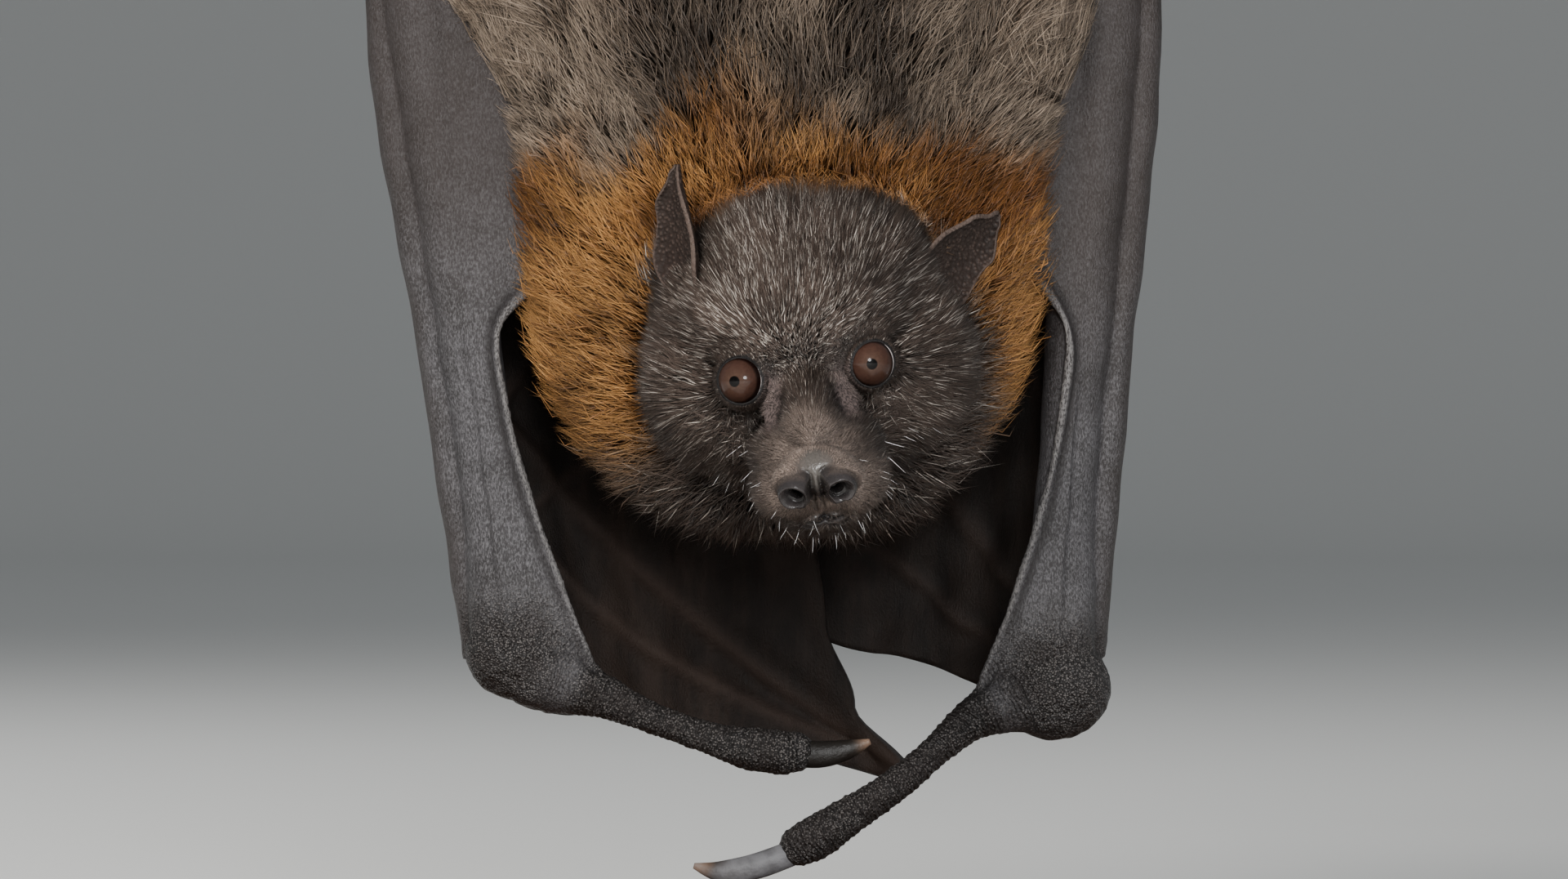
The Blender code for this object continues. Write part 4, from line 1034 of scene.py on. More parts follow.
def web_mesh(side, low, high, columns, rows):
    """A length of the wrapped wing between two heights."""
    kept = {}

    def surface(u, v):
        foot = np.maximum(low, at(HEM[side], 14 + 100 * u)) if low == 0 else low + 0 * u
        head = CLOAK_TOP - 0.050 * u * u if high == CLOAK_TOP else high + 0 * u
        height = foot + (head - foot) * v
        angle = WRAP_FROM + (at(WRAP_TO[side], height) - WRAP_FROM) * u
        lift, bone = pleats(side, angle, height)
        free = step(1.0, 0.93, u)
        turn = np.radians(angle)
        out = np.stack([SIDES[side] * np.cos(turn), np.sin(turn), 0 * turn], -1)
        kept["bone"] = bone
        return cloak_point(side, angle, height) + out * (lift * free * step(0, 0.05, u))[..., None]

    u, v = np.meshgrid(np.linspace(0, 1, columns + 1), np.linspace(0, 1, rows + 1), indexing="ij")
    surface(u, v)
    edge = step(0.94, 1.0, u) + (step(0.06, 0.0, v) if low == 0 else 0)
    mesh = shell(surface, columns, rows, 0.0010 + 0.0022 * kept["bone"] + 0.0007 * np.clip(edge, 0, 1))
    points = points_of(mesh)
    outer = dot(normals_of(mesh), np.stack([points[:, 0], points[:, 1], 0 * points[:, 0]], 1))[:, 0] > 0
    # inside is painted shade: 1 on the inner faces of the wrap and 0.35 on its outer faces
    note(mesh, inside=np.where(outer, 0.35, 1.0), brown=np.tile(0.35 * kept["bone"].ravel(), 2))
    return mesh


def flank_mesh(side):
    """The web between the body's flank and the wing, from the elbow to the ankle."""
    sign = SIDES[side]

    def surface(u, v):
        low, top = 0.206 + 0.036 * u, CLOAK_TOP - 0.010
        height = low + (top - low) * v
        body = np.stack([sign * at([(0.20, 0.044), (0.27, 0.037), (0.33, 0.036), (0.388, 0.026)], height),
                         -0.002 - 0.010 * at([(0.30, 0), (0.388, 1)], height), height], -1)
        hem = cloak_point(side, WRAP_FROM + 0 * u, height) - np.array((sign * 0.0012, 0.0016, 0))
        fold = 0.0009 * np.sin(height * 260 + u * 5) * np.sin(np.pi * u)
        return body + (hem - body) * u[..., None] + np.stack([0 * u, fold, 0 * u], -1)

    return shell(surface, 26, 96, 0.0010)


def arm_mesh(side):
    """Forearm, wrist, thumb, the bundle of hand bones and the front web as one skin."""
    sign, elbow, wrist = SIDES[side], ELBOW[side], WRIST[side]
    web_rows, thumb_length = 60, 0.058
    bm = bmesh.new()
    bend, slim = elbow.lerp(wrist, 0.35), elbow.lerp(wrist, 0.75)
    tube(bm, through([
        (elbow.x + sign * 0.001, elbow.y, elbow.z + 0.005, 0.0040, 0.0045),
        (elbow.x, elbow.y, elbow.z - 0.004, 0.0085, 0.0085),
        (bend.x, bend.y, bend.z, 0.0078, 0.0085),
        (slim.x - sign * 0.0005, slim.y, slim.z, 0.0062, 0.0064),
        (wrist.x, wrist.y, wrist.z + 0.006, 0.0085, 0.0070),
        (wrist.x, wrist.y, wrist.z - 0.004, 0.0070, 0.0055)], 40), sides=32)
    if side == "right":
        ball(bm, wrist + Vector((0.0018, 0.001, 0.0012)), (0.0112, 0.0088, 0.0100))
        ball(bm, wrist + Vector((0.0068, 0.000, -0.0035)), (0.0090, 0.0078, 0.0074))
    else:
        ball(bm, wrist + Vector((-0.0005, 0.001, -0.001)), (0.0122, 0.0090, 0.0110))
    tube(bm, through([(x, y, z, r, r) for x, y, z, r in THUMB[side]], 44), sides=24, width_axis=(0, 1, 0))
    tip = Vector(THUMB[side][-1][:3]).lerp(Vector(THUMB[side][-2][:3]), 0.2)
    ball(bm, tip, (0.0040, 0.0036, 0.0042))
    bundle = []
    for height, thin, deep in ((0.074, 0.0034, 0.0042), (0.100, 0.0037, 0.0050), (0.140, 0.0038, 0.0052),
                               (0.175, 0.0040, 0.0050), (0.192, 0.0041, 0.0050), (0.212, 0.0032, 0.0044),
                               (0.232, 0.0020, 0.0030)):
        spot = cloak_point(side, np.array(BUNDLE_AT), np.array(height))
        bundle.append((spot[0] - sign * 0.0010, spot[1], height, thin, deep))
    tube(bm, through(bundle, 24), sides=20)
    first = np.array(through(list(reversed(LEADING_EDGE[side])) + [
        (sign * 0.0480, -0.006, 0.176), (sign * 0.0520, -0.004, 0.190), (sign * 0.0580, -0.002, 0.212),
        (sign * 0.0650, 0.001, 0.229)], web_rows + 1))
    middle = np.array([wrist.lerp(elbow, -0.02 + 0.98 * k / web_rows) for k in range(web_rows + 1)])
    for lift, slack in ((0.0020, 0.0030), (0.0072, 0.0004)):

        def web(u, v, lift=lift, slack=slack):
            place = v * web_rows
            k = np.minimum(place.astype(int), web_rows - 1)
            t = (place - k)[..., None]
            from_edge = first[k] + (first[k + 1] - first[k]) * t
            to_arm = middle[k] + (middle[k + 1] - middle[k]) * t - (0, 1, 0) * np.asarray(lift)
            sag = slack * np.sin(math.pi * u)
            return from_edge + (to_arm - from_edge) * u[..., None] + np.stack([0 * u, sag, 0 * u], -1)

        bm.from_mesh(shell(web, 8, web_rows, 0.0015))
    edge = through(LEADING_EDGE[side], 40)
    mesh = melded(bm, voxel=0.00055, rounds=4, triangles=84000)

    points, normals = points_of(mesh), normals_of(mesh)
    to_edge, place = to_line(points, edge)
    # rim marks a painted highlight along the leading edge; groove marks the hollow inboard of it, cut in and
    # painted in shade
    rim = step(0.0011, 0.0006, to_edge) * step(0.153, 0.143, points[:, 2])
    groove = np.exp(-((to_edge - 0.0020) / 0.0008) ** 2)
    points = points - normals * (0.0006 * groove)[:, None]
    to_thumb, run = to_line(points, THUMB[side])
    thumb = step(0.0105, 0.0070, to_thumb) * step(0.02, 0.16, run)
    to_wrist = np.linalg.norm(points - np.array(wrist), axis=1)
    pebble = np.maximum(thumb, step(0.0215, 0.0080, to_wrist))
    knobs = wobble(points, 500, 21)[:, 0] * 0.00012 + wobble(points, 2100, 22)[:, 1] * 0.00009
    rings = np.sin(run * thumb_length * 4200 + wobble(points, 260, 23)[:, 0] * 1.6) * 0.00010 * thumb
    soft = wobble(points, 210, 24)[:, 0] * 0.00022
    points = points + normals * (knobs * pebble + rings + soft * (1 - pebble))[:, None]
    move_points(mesh, points)
    above = step(0.125, 0.185, points[:, 2] + 0.018 * (points[:, 0] > 0))
    brown = np.maximum(step(0.0060, 0.0030, to_line(points, bundle)[0]), 0.85 * above)
    note(mesh, rim=rim * (1 - pebble), groove=np.clip(groove, 0, 1) * (1 - pebble), pebble=pebble,
         thumb=run * thumb_length * step(0.012, 0.008, to_thumb), inside=0 * run,
         brown=brown * (1 - pebble))
    return mesh


def make_wing(side):
    hand = web_mesh(side, 0, KNUCKLES_Z, 76, 80)
    arm = web_mesh(side, KNUCKLES_Z - 0.0006, CLOAK_TOP, 36, 80)
    mesh = joined([arm_mesh(side), hand, arm, flank_mesh(side)])
    nodes = [f"{part}_{side}" for part in ("forearm", "thumb", "fingers", "front_web", "hand_web", "arm_web",
                                           "flank_web")]
    return piece(f"wing_skin_{side}", mesh, look_of("wing"), "wing_skin", *nodes)


# ---------------------------------------------------------------- feet and claws
def round_branch(x, turn, off):
    """A point a distance off the branch's surface; turn is 180 in front of it, 90 on top and 0 behind."""
    reach = BRANCH_RADIUS + off
    return Vector((x, BRANCH_CENTRE.y + reach * math.cos(math.radians(turn)),
                   BRANCH_CENTRE.z + reach * math.sin(math.radians(turn))))


def toe_places(sign):
    return [sign * 0.0240 + 0.0046 * (k - (TOES - 1) / 2) for k in range(TOES)]


def make_foot(side):
    sign = SIDES[side]
    bm = bmesh.new()
    ankle = Vector((sign * ANKLE.x, ANKLE.y, ANKLE.z))
    sole = round_branch(sign * 0.0235, 186, 0.0040)
    tube(bm, through([(*(ankle - Vector((0, 0, 0.006))), 0.0044, 0.0041),
                      (*(ankle - Vector((0, 0, 0.003))), 0.0045, 0.0042),
                      (*ankle.lerp(sole, 0.5), 0.0060, 0.0036),
                      (*sole, 0.0095, 0.0034),
                      (*round_branch(sign * 0.0240, 168, 0.0036), 0.0100, 0.0030)], 18), sides=28)
    for x in toe_places(sign):
        start = sign * 0.0240 + (x - sign * 0.0240) * 0.86
        tube(bm, [(*round_branch(start + (x - start) * k / 23, 176 - 104 * k / 23, 0.0028),
                   0.0019 + 0.0003 * math.exp(-((k - 12) / 2.5) ** 2), 0.0021) for k in range(24)], sides=18)
    mesh = melded(bm, voxel=0.00045, rounds=3, triangles=20000)
    points, normals = points_of(mesh), normals_of(mesh)
    around = np.degrees(np.arctan2(points[:, 2] - BRANCH_CENTRE.z, points[:, 1] - BRANCH_CENTRE.y))
    scales = np.sin(around * 0.62 + 0.6 * wobble(points, 300, 31)[:, 0]) * 0.00013
    points = points + normals * (scales + wobble(points, 900, 32)[:, 0] * 0.00010)[:, None]
    move_points(mesh, points)
    zero = np.zeros(len(points))
    note(mesh, pebble=zero + 0.9, inside=zero, rim=zero, groove=zero, brown=zero + 0.3, thumb=zero)
    return piece(f"foot_skin_{side}", mesh, look_of("wing"), "wing_skin", f"foot_{side}")


def claw_mesh(stations, sides=14, width_axis=(0, 1, 0)):
    mesh = solid(tube(bmesh.new(), stations, sides=sides, width_axis=width_axis))
    _, along = to_line(points_of(mesh), stations)
    note(mesh, along=along)
    return mesh


def make_claws():
    for side, sign in SIDES.items():
        stations = through([(*spot, r * (0.80, 0.92, 1.0, 1.5)[k]) for k, (*spot, r) in
                            enumerate(THUMB_CLAW[side])], 30)
        thumb = claw_mesh([(x, y, z, r * 0.62, r) for x, y, z, r in stations], 20)
        # the bat's left thumb claw is painted pale, a painted sheen
        note(thumb, pale=np.full(len(thumb.vertices), 1.0 if sign > 0 else 0.0))
        piece(f"thumb_nail_{side}", thumb, look_of("claw"), "claw", f"thumb_claw_{side}")
        low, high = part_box(f"finger_claw_{side}")
        near = high.x if sign < 0 else low.x
        far = low.x if sign < 0 else high.x
        small = claw_mesh(through([
            (near - sign * 0.0004, (low.y + high.y) / 2 + 0.0005, low.z - 0.0012, 0.0013, 0.0014),
            (near + (far - near) * 0.35, (low.y + high.y) / 2, low.z + 0.0036, 0.0010, 0.0011),
            (far - sign * 0.0003, low.y + 0.0006, high.z, 0.0002, 0.0002)], 14), 12)
        piece(f"finger_nail_{side}", small, look_of("claw"), "claw", f"finger_claw_{side}")
        last = 13
        toes = [claw_mesh([
            (*round_branch(x, 76 - 63 * j / last, 0.0030 - 0.0018 * (j / last) ** 2),
             0.0011 * (1 - 0.85 * (j / last) ** 1.5), 0.0019 * (1 - 0.88 * (j / last) ** 1.5))
            for j in range(last + 1)], 12, (1, 0, 0)) for x in toe_places(sign)]
        piece(f"toe_nails_{side}", joined(toes), look_of("claw"), "claw",
              *[f"toe_claw_{side}_{k + 1}" for k in range(TOES)])


# ---------------------------------------------------------------- the coat
def layout(points):
    """Where roots lie on an unwrap of the body: round the body's axis across, and along it upwards."""
    around = np.arctan2(points[:, 0], -(points[:, 1] + 0.002)) / math.tau + 0.5
    up = (points[:, 2] - 0.09) / 0.33
    return np.stack([around, up], 1)


def head_layout(points):
    """Where roots lie on an unwrap of the head about its own axis, from nose to nape."""
    here = in_head(points) - (0, 0.012, -0.003)
    around = np.arctan2(here[:, 0], here[:, 2]) / math.tau + 0.5
    off = np.arccos(np.clip(-here[:, 1] / np.linalg.norm(here, axis=1), -1, 1)) / math.pi
    return np.stack([around, off], 1)


class Hide:
    """The skin's triangles, its normals and the coat's depth, ready to have roots scattered over them."""

    def __init__(self, obj):
        mesh = obj.data
        mesh.calc_loop_triangles()
        corners = np.empty(len(mesh.loop_triangles) * 3, np.int32)
        mesh.loop_triangles.foreach_get("vertices", corners)
        self.corners = corners.reshape(-1, 3)
        self.points, self.normals = points_of(mesh), normals_of(mesh)
        self.depth = np.empty(len(self.points), np.float32)
        mesh.attributes["depth"].data.foreach_get("value", self.depth)
        triangle = self.points[self.corners]
        self.middles = triangle.mean(1)
        edges = (triangle[:, 1] - triangle[:, 0], triangle[:, 2] - triangle[:, 0])
        self.areas = np.linalg.norm(np.cross(*edges), axis=1) / 2

    def scatter(self, count, density, rng):
        """Roots, normals and depths at count places, spread evenly by area times density(points)."""
        total = np.cumsum(self.areas * density(self.middles))
        marks = (np.arange(count) + rng.random(count)) / count * total[-1]
        chosen = np.minimum(np.searchsorted(total, marks), len(total) - 1)
        a, b = rng.random(count), rng.random(count)
        over = a + b > 1
        a[over], b[over] = 1 - a[over], 1 - b[over]
        share = np.stack([1 - a - b, a, b], 1)
        corner = self.corners[chosen]
        roots = (self.points[corner] * share[..., None]).sum(1)
        normals = unit((self.normals[corner] * share[..., None]).sum(1))
        return roots, normals, (self.depth[corner] * share).sum(1)


def tuft_mesh(name, first, bend, tip, thick, rings, marks, uv):
    """Three-sided tapering tufts along the curves from first by bend to tip, as one mesh."""
    count, sides = len(first), 3
    stations = []
    across = unit(np.cross(tip - first, np.random.default_rng(count).normal(size=first.shape)))
    for k in range(rings):
        t = k / rings
        centre = first * (1 - t) ** 2 + bend * 2 * t * (1 - t) + tip * t * t
        ahead = unit((bend - first) * (1 - t) + (tip - bend) * t)
        over = np.cross(across, ahead)
        width = thick[:, None] * (1 - 0.62 * t)
        for turn in (math.tau * s / sides for s in range(sides)):
            stations.append(centre + (across * math.cos(turn) + over * math.sin(turn)) * width)
    stations.append(tip)
    each = len(stations)
    points = np.stack(stations, 1).reshape(-1, 3)
    faces, sizes = [(2, 1, 0)], [3]
    for k in range(rings - 1):
        for s in range(sides):
            after = (s + 1) % sides
            faces.append((k * 3 + s, k * 3 + after, k * 3 + 3 + after, k * 3 + 3 + s))
            sizes.append(4)
    for s in range(sides):
        faces.append(((rings - 1) * 3 + s, (rings - 1) * 3 + (s + 1) % sides, each - 1))
        sizes.append(3)
    loops = np.concatenate([np.array(face) for face in faces])
    vertex = (np.arange(count)[:, None] * each + loops).ravel()
    offsets = np.concatenate([[0], np.cumsum(sizes)[:-1]])
    starts = (np.arange(count)[:, None] * len(loops) + offsets).ravel()
    mesh = bpy.data.meshes.new(name)
    mesh.vertices.add(len(points))
    mesh.vertices.foreach_set("co", points.astype(np.float32).ravel())
    mesh.loops.add(len(vertex))
    mesh.loops.foreach_set("vertex_index", vertex.astype(np.int32))
    mesh.polygons.add(len(starts))
    mesh.polygons.foreach_set("loop_start", starts.astype(np.int32))
    mesh.update(calc_edges=True)
    along = np.array([k / rings for k in range(rings) for _ in range(sides)] + [1.0])
    note(mesh, along=np.tile(along, count), **{key: np.repeat(value, each) for key, value in marks.items()})
    patch = 0.003
    spot = np.array([(s / 2 * patch, k / rings * patch) for k in range(rings) for s in range(sides)]
                    + [(patch / 2, patch)])
    place = 0.003 + uv * (1 - 3 * patch)
    corners = (place[:, None, :] + spot[None])[:, loops, :].reshape(-1, 2)
    mesh.uv_layers.new(name="OFBake").data.foreach_set("uv", corners.astype(np.float32).ravel())
    return mesh


def grow(hide, name, slot, count, density, flow, seed, rings=2, thick=0.00016, lie=1.5, stand=0.75,
         unruly=0.16, crook=0.12, clump=0.35, per_clump=12, silver=0.0, deep=None, finest=0.45,
         lay_out=layout, split=None):
    """Coat pieces. lie is how far a tuft runs along the skin for each unit it rises, stand how much of its
    rise it makes before it bends over, clump how strongly the tips of neighbours draw together, deep(roots,
    depth) the depth of the coat, and split the x where it parts into a right and a left piece."""
    rng = np.random.default_rng(seed)
    roots, normals, depth = hide.scatter(count, density, rng)
    depth = np.clip(depth, 0.003, 0.011) if deep is None else deep(roots, depth)
    way = flow(roots) + unruly * (0.9 * wobble(roots, 230, seed) + 0.7 * wobble(roots, 1000, seed + 50))
    way += unruly * rng.normal(size=roots.shape)
    way = unit(way - normals * dot(way, normals))
    rise = (depth * rng.uniform(0.62, 1.12, count))[:, None]
    run = rise * lie * rng.uniform(0.7, 1.3, (count, 1))
    tips = roots + normals * rise + way * run
    bends = roots + normals * rise * stand + way * run * 0.28
    bends += crook * (rise + run) * rng.normal(size=roots.shape)
    middles = rng.choice(count, max(count // per_clump, 1), replace=False)
    tree = KDTree(len(middles))
    for k, middle in enumerate(middles):
        tree.insert(roots[middle], k)
    tree.balance()
    guide = middles[np.array([tree.find(root)[1] for root in roots])]
    pull = clump * rng.uniform(0.5, 1.0, (count, 1))
    tips += (tips[guide] - tips) * pull
    bends += (bends[guide] - bends) * pull * 0.35
    marks = markings(roots)
    sparkle = 0.75 + 0.8 * step(0.036, 0.014, np.linalg.norm(in_head(roots) - (0, 0.014, 0.020), axis=1))
    shine = (rng.random(count) < silver * sparkle) * rng.uniform(0.4, 1.0, count)
    tone = np.clip(rng.normal(0.5, 0.26, count) + 0.22 * wobble(roots, 420, seed + 9)[:, 0], 0, 1.1)
    # painted light: the gold on the bat's left side is made paler
    tone += 0.45 * marks["gold"] * step(0.030, 0.046, roots[:, 0])
    size = thick * rng.uniform(0.7, 1.3, count) * np.clip(depth / 0.003, finest, 1.0)
    sunk = roots - normals * 0.0004
    groups = {name: np.ones(count, bool)} if split is None else {
        f"{name}_right": roots[:, 0] < split, f"{name}_left": roots[:, 0] >= split}
    for piece_name, chosen in groups.items():
        given = {key: value[chosen] for key, value in {**marks, "silver": shine, "tone": tone}.items()}
        mesh = tuft_mesh(piece_name, sunk[chosen], bends[chosen], tips[chosen], size[chosen], rings, given,
                         np.clip(lay_out(roots[chosen]), 0, 1))
        piece(piece_name, mesh, look_of("coat"), slot)


def on_head(points):
    return (in_head(points)[:, 1] < 0.0305) & (points[:, 2] < MANTLE_TOP)


def fine_face(points):
    """The share of the coat that is the face's short fuzz."""
    close = np.maximum(step(0.0190, 0.0135, from_nose(points)), step(0.0092, 0.0074, from_eyes(points)))
    return on_head(points) * close


def off_ears(points):
    """The distance to the nearer ear's middle line."""
    return np.minimum(*(to_line(points, [EAR_ROOTS[side], EAR_TIPS[side]])[0] for side in SIDES))


def face_density(points):
    here = in_head(points)
    nostrils = np.minimum(*(np.linalg.norm(here - (nostril_x(sign), -0.0345, -0.0104), axis=1)
                            for sign in (-1, 1)))
    top = np.linalg.norm((here - (0, -0.0320, -0.0080)) / (0.8, 1.0, 1.0), axis=1)
    off_lip, aside = here[:, 2] - lip_line(here[:, 0]), np.abs(here[:, 0])
    lips = step(0.0008, 0.0024, np.abs(off_lip - 0.0006))
    lips = np.maximum(lips, step(0.0030, 0.0056, aside))
    lips = np.minimum(lips, np.maximum(step(0.0003, 0.0009, np.abs(off_lip)), step(0.0075, 0.0090, aside)))
    lips = np.maximum(lips, step(-0.021, -0.018, here[:, 1]))
    thin = 0.45 + 0.55 * step(0.0018, 0.0036, trough(points))
    return (fine_face(points) * step(0.0040, 0.0066, top) * step(0.0040, 0.0050, nostrils)
            * step(*LID_EDGE, lid_angle(points)) * thin * lips * step(0.0004, 0.0012, crease(points)))


def face_depth(points, _):
    """Short on the muzzle, longer outwards, and shortest round the eyes."""
    deep = 0.0006 + 0.0022 * step(0.0080, 0.0185, from_nose(points))
    deep = np.minimum(deep, 0.0005 + 0.35 * np.maximum(from_eyes(points) - EYE_RADIUS, 0))
    return np.minimum(deep, 0.0005 + 0.25 * trough(points))


def head_depth(points, depth):
    by_eyes = 0.0010 + 0.45 * np.maximum(from_eyes(points) - EYE_RADIUS, 0)
    deep = np.minimum(np.clip(depth, 0.0028, 0.0055), by_eyes)
    brow = np.linalg.norm(in_head(points) - (0, 0.002, 0.003), axis=1)
    deep = np.minimum(deep, 0.0012 + 0.15 * brow)
    return np.minimum(deep, np.minimum(0.0012 + 0.35 * off_ears(points), 0.0006 + 0.28 * trough(points)))


def head_density(points):
    here = in_head(points)
    return (on_head(points) * (1 - fine_face(points)) * (0.45 + 0.55 * step(0.036, 0.020, here[:, 1]))
            * step(*LID_EDGE, lid_angle(points)) * step(0.0014, 0.0030, trough(points))
            * (1 + 0.9 * np.exp(-((here - (0, 0.004, 0.007)) ** 2).sum(1) / 0.0085 ** 2)))


def back_from_nose(points):
    """The lie of the head's coat: away from the muzzle and the eyes, over the head and cheeks."""
    here = in_head(points)
    way = unit(here - (0, -0.034, -0.008))
    for sign in (-1, 1):
        away = here - eye_place(sign)
        far = np.linalg.norm(away, axis=1, keepdims=True)
        way += 1.6 * np.exp(-((far - EYE_RADIUS) / 0.0040) ** 2) * away / far
    return way @ HEAD_TURN.T


def mantle_depth(points, depth):
    deep = np.clip(depth, 0.0045, 0.0095) + 0.0024 * step(0.032, 0.048, np.abs(points[:, 0]))
    deep *= 0.55 + 0.45 * step(0.098, 0.112, points[:, 2])
    return np.minimum(deep, 0.0010 + 0.6 * off_ears(points))


def mantle_density(points):
    return ~on_head(points) * (points[:, 2] < MANTLE_TOP) * (0.30 + 0.70 * step(0.016, -0.006, points[:, 1]))


def out_from_face(points):
    """The lie of the mantle: out from behind the face, up over the top and outwards at the sides."""
    away = points - (0.003, -0.020, 0.128)
    return unit(away * (1.0, 0.7, 1.0)) + (0, 0.10, 0.30)


def on_arm(points):
    return (points[:, 2] >= MANTLE_TOP) & (points[:, 2] < ARM_TOP) & (np.abs(points[:, 0]) > 0.041)


def on_leg(points):
    return points[:, 2] > LEG_FROM


def on_trunk(points):
    return ~on_head(points) & (points[:, 2] >= BACK_FROM) & ~on_arm(points) & ~on_leg(points)


def up_the_body(points):
    """The lie of the back and belly coat: head to tail, fanning out towards the sides."""
    fan = points[:, 0] / 0.05 * step(0.26, 0.19, points[:, 2])
    return np.stack([fan * 0.75, 0 * fan, 1 + 0 * fan], 1)


def down_the_arm(points):
    return np.stack([np.sign(points[:, 0]) * 0.62, 0 * points[:, 0], 0.80 + 0 * points[:, 0]], 1)


def along_the_leg(points):
    return np.stack([np.sign(points[:, 0]) * step(0.345, LEG_FROM, points[:, 2]) * 0.5, 0 * points[:, 0],
                     1 + 0 * points[:, 0]], 1)


# ---------------------------------------------------------------- whiskers, by Geometry Nodes
def whisker_tree():
    """Points become tapering hairs along their stored direction; sizes are inputs and the seed is fixed."""
    tree = bpy.data.node_groups.new("bat_whiskers", "GeometryNodeTree")
    tree.is_modifier = True
    ports = tree.interface
    ports.new_socket("Geometry", in_out="INPUT", socket_type="NodeSocketGeometry")
    for name, value in (("Length", 0.0056), ("Thickness", 0.00007), ("Seed", 7)):
        kind = "NodeSocketInt" if name == "Seed" else "NodeSocketFloat"
        ports.new_socket(name, in_out="INPUT", socket_type=kind).default_value = value
    ports.new_socket("Material", in_out="INPUT", socket_type="NodeSocketMaterial")
    ports.new_socket("Geometry", in_out="OUTPUT", socket_type="NodeSocketGeometry")

    def add(kind, settings=None, **values):
        node = tree.nodes.new(kind)
        for key, value in (settings or {}).items():
            setattr(node, key, value)
        for key, value in values.items():
            socket = node.inputs[int(key[1:])] if key[1:].isdigit() else node.inputs[key.replace("_", " ")]
            if isinstance(value, bpy.types.NodeSocket):
                tree.links.new(value, socket)
            else:
                socket.default_value = value
        return node

    given = add("NodeGroupInput").outputs
    line = add("GeometryNodeCurveQuadraticBezier", None, Resolution=10, Start=(0, 0, 0),
               Middle=(0, 0, 0.55), End=(0, 0.16, 1.0))
    taper = add("GeometryNodeSplineParameter").outputs["Factor"]
    thin = add("ShaderNodeMath", {"operation": "SUBTRACT"}, _0=1.02, _1=taper)
    thick = add("ShaderNodeMath", {"operation": "POWER"}, _0=thin.outputs[0], _1=0.6)
    ring = add("GeometryNodeCurvePrimitiveCircle", None, Resolution=5, Radius=1.0)
    ratio = add("ShaderNodeMath", {"operation": "DIVIDE"}, _0=given["Thickness"], _1=given["Length"])
    radius = add("ShaderNodeMath", {"operation": "MULTIPLY"}, _0=thick.outputs[0], _1=ratio.outputs[0])
    sized = add("GeometryNodeSetCurveRadius", None, Curve=line.outputs[0], Radius=radius.outputs[0])
    hair = add("GeometryNodeCurveToMesh", None, Curve=sized.outputs[0], Profile_Curve=ring.outputs[0])
    hair.inputs["Fill Caps"].default_value = True
    if "Scale" in hair.inputs:
        tree.links.new(radius.outputs[0], hair.inputs["Scale"])
    spots = add("GeometryNodeMeshToPoints", None, Mesh=given["Geometry"])
    way = add("GeometryNodeInputNamedAttribute", {"data_type": "FLOAT_VECTOR"}, Name="way")
    turn = add("FunctionNodeAlignRotationToVector", {"axis": "Z"}, Vector=way.outputs[0])
    size = add("GeometryNodeInputNamedAttribute", {"data_type": "FLOAT"}, Name="size")
    chance = add("FunctionNodeRandomValue", {"data_type": "FLOAT"}, Seed=given["Seed"])
    chance.inputs[2].default_value, chance.inputs[3].default_value = 0.7, 1.2
    scale = add("ShaderNodeMath", {"operation": "MULTIPLY"}, _0=size.outputs[0], _1=given["Length"])
    varied = add("ShaderNodeMath", {"operation": "MULTIPLY"}, _0=scale.outputs[0], _1=chance.outputs[1])
    placed = add("GeometryNodeInstanceOnPoints", None, Points=spots.outputs[0], Instance=hair.outputs[0],
                 Rotation=turn.outputs[0], Scale=varied.outputs[0])
    whole = add("GeometryNodeRealizeInstances", None, Geometry=placed.outputs[0])
    finished = add("GeometryNodeSetMaterial", None, Geometry=whole.outputs[0], Material=given["Material"])
    shaded = add("GeometryNodeSetShadeSmooth", None, Geometry=finished.outputs[0])
    out = tree.nodes.new("NodeGroupOutput")
    tree.links.new(shaded.outputs[0], out.inputs[0])
    return tree


def whisker_look():
    look = Look("bat_whisker", Roughness=0.40, Specular_IOR_Level=0.5)
    return look.finish(look.mix(look.noise(700.0), (0.045, 0.036, 0.029), (0.115, 0.101, 0.086)))


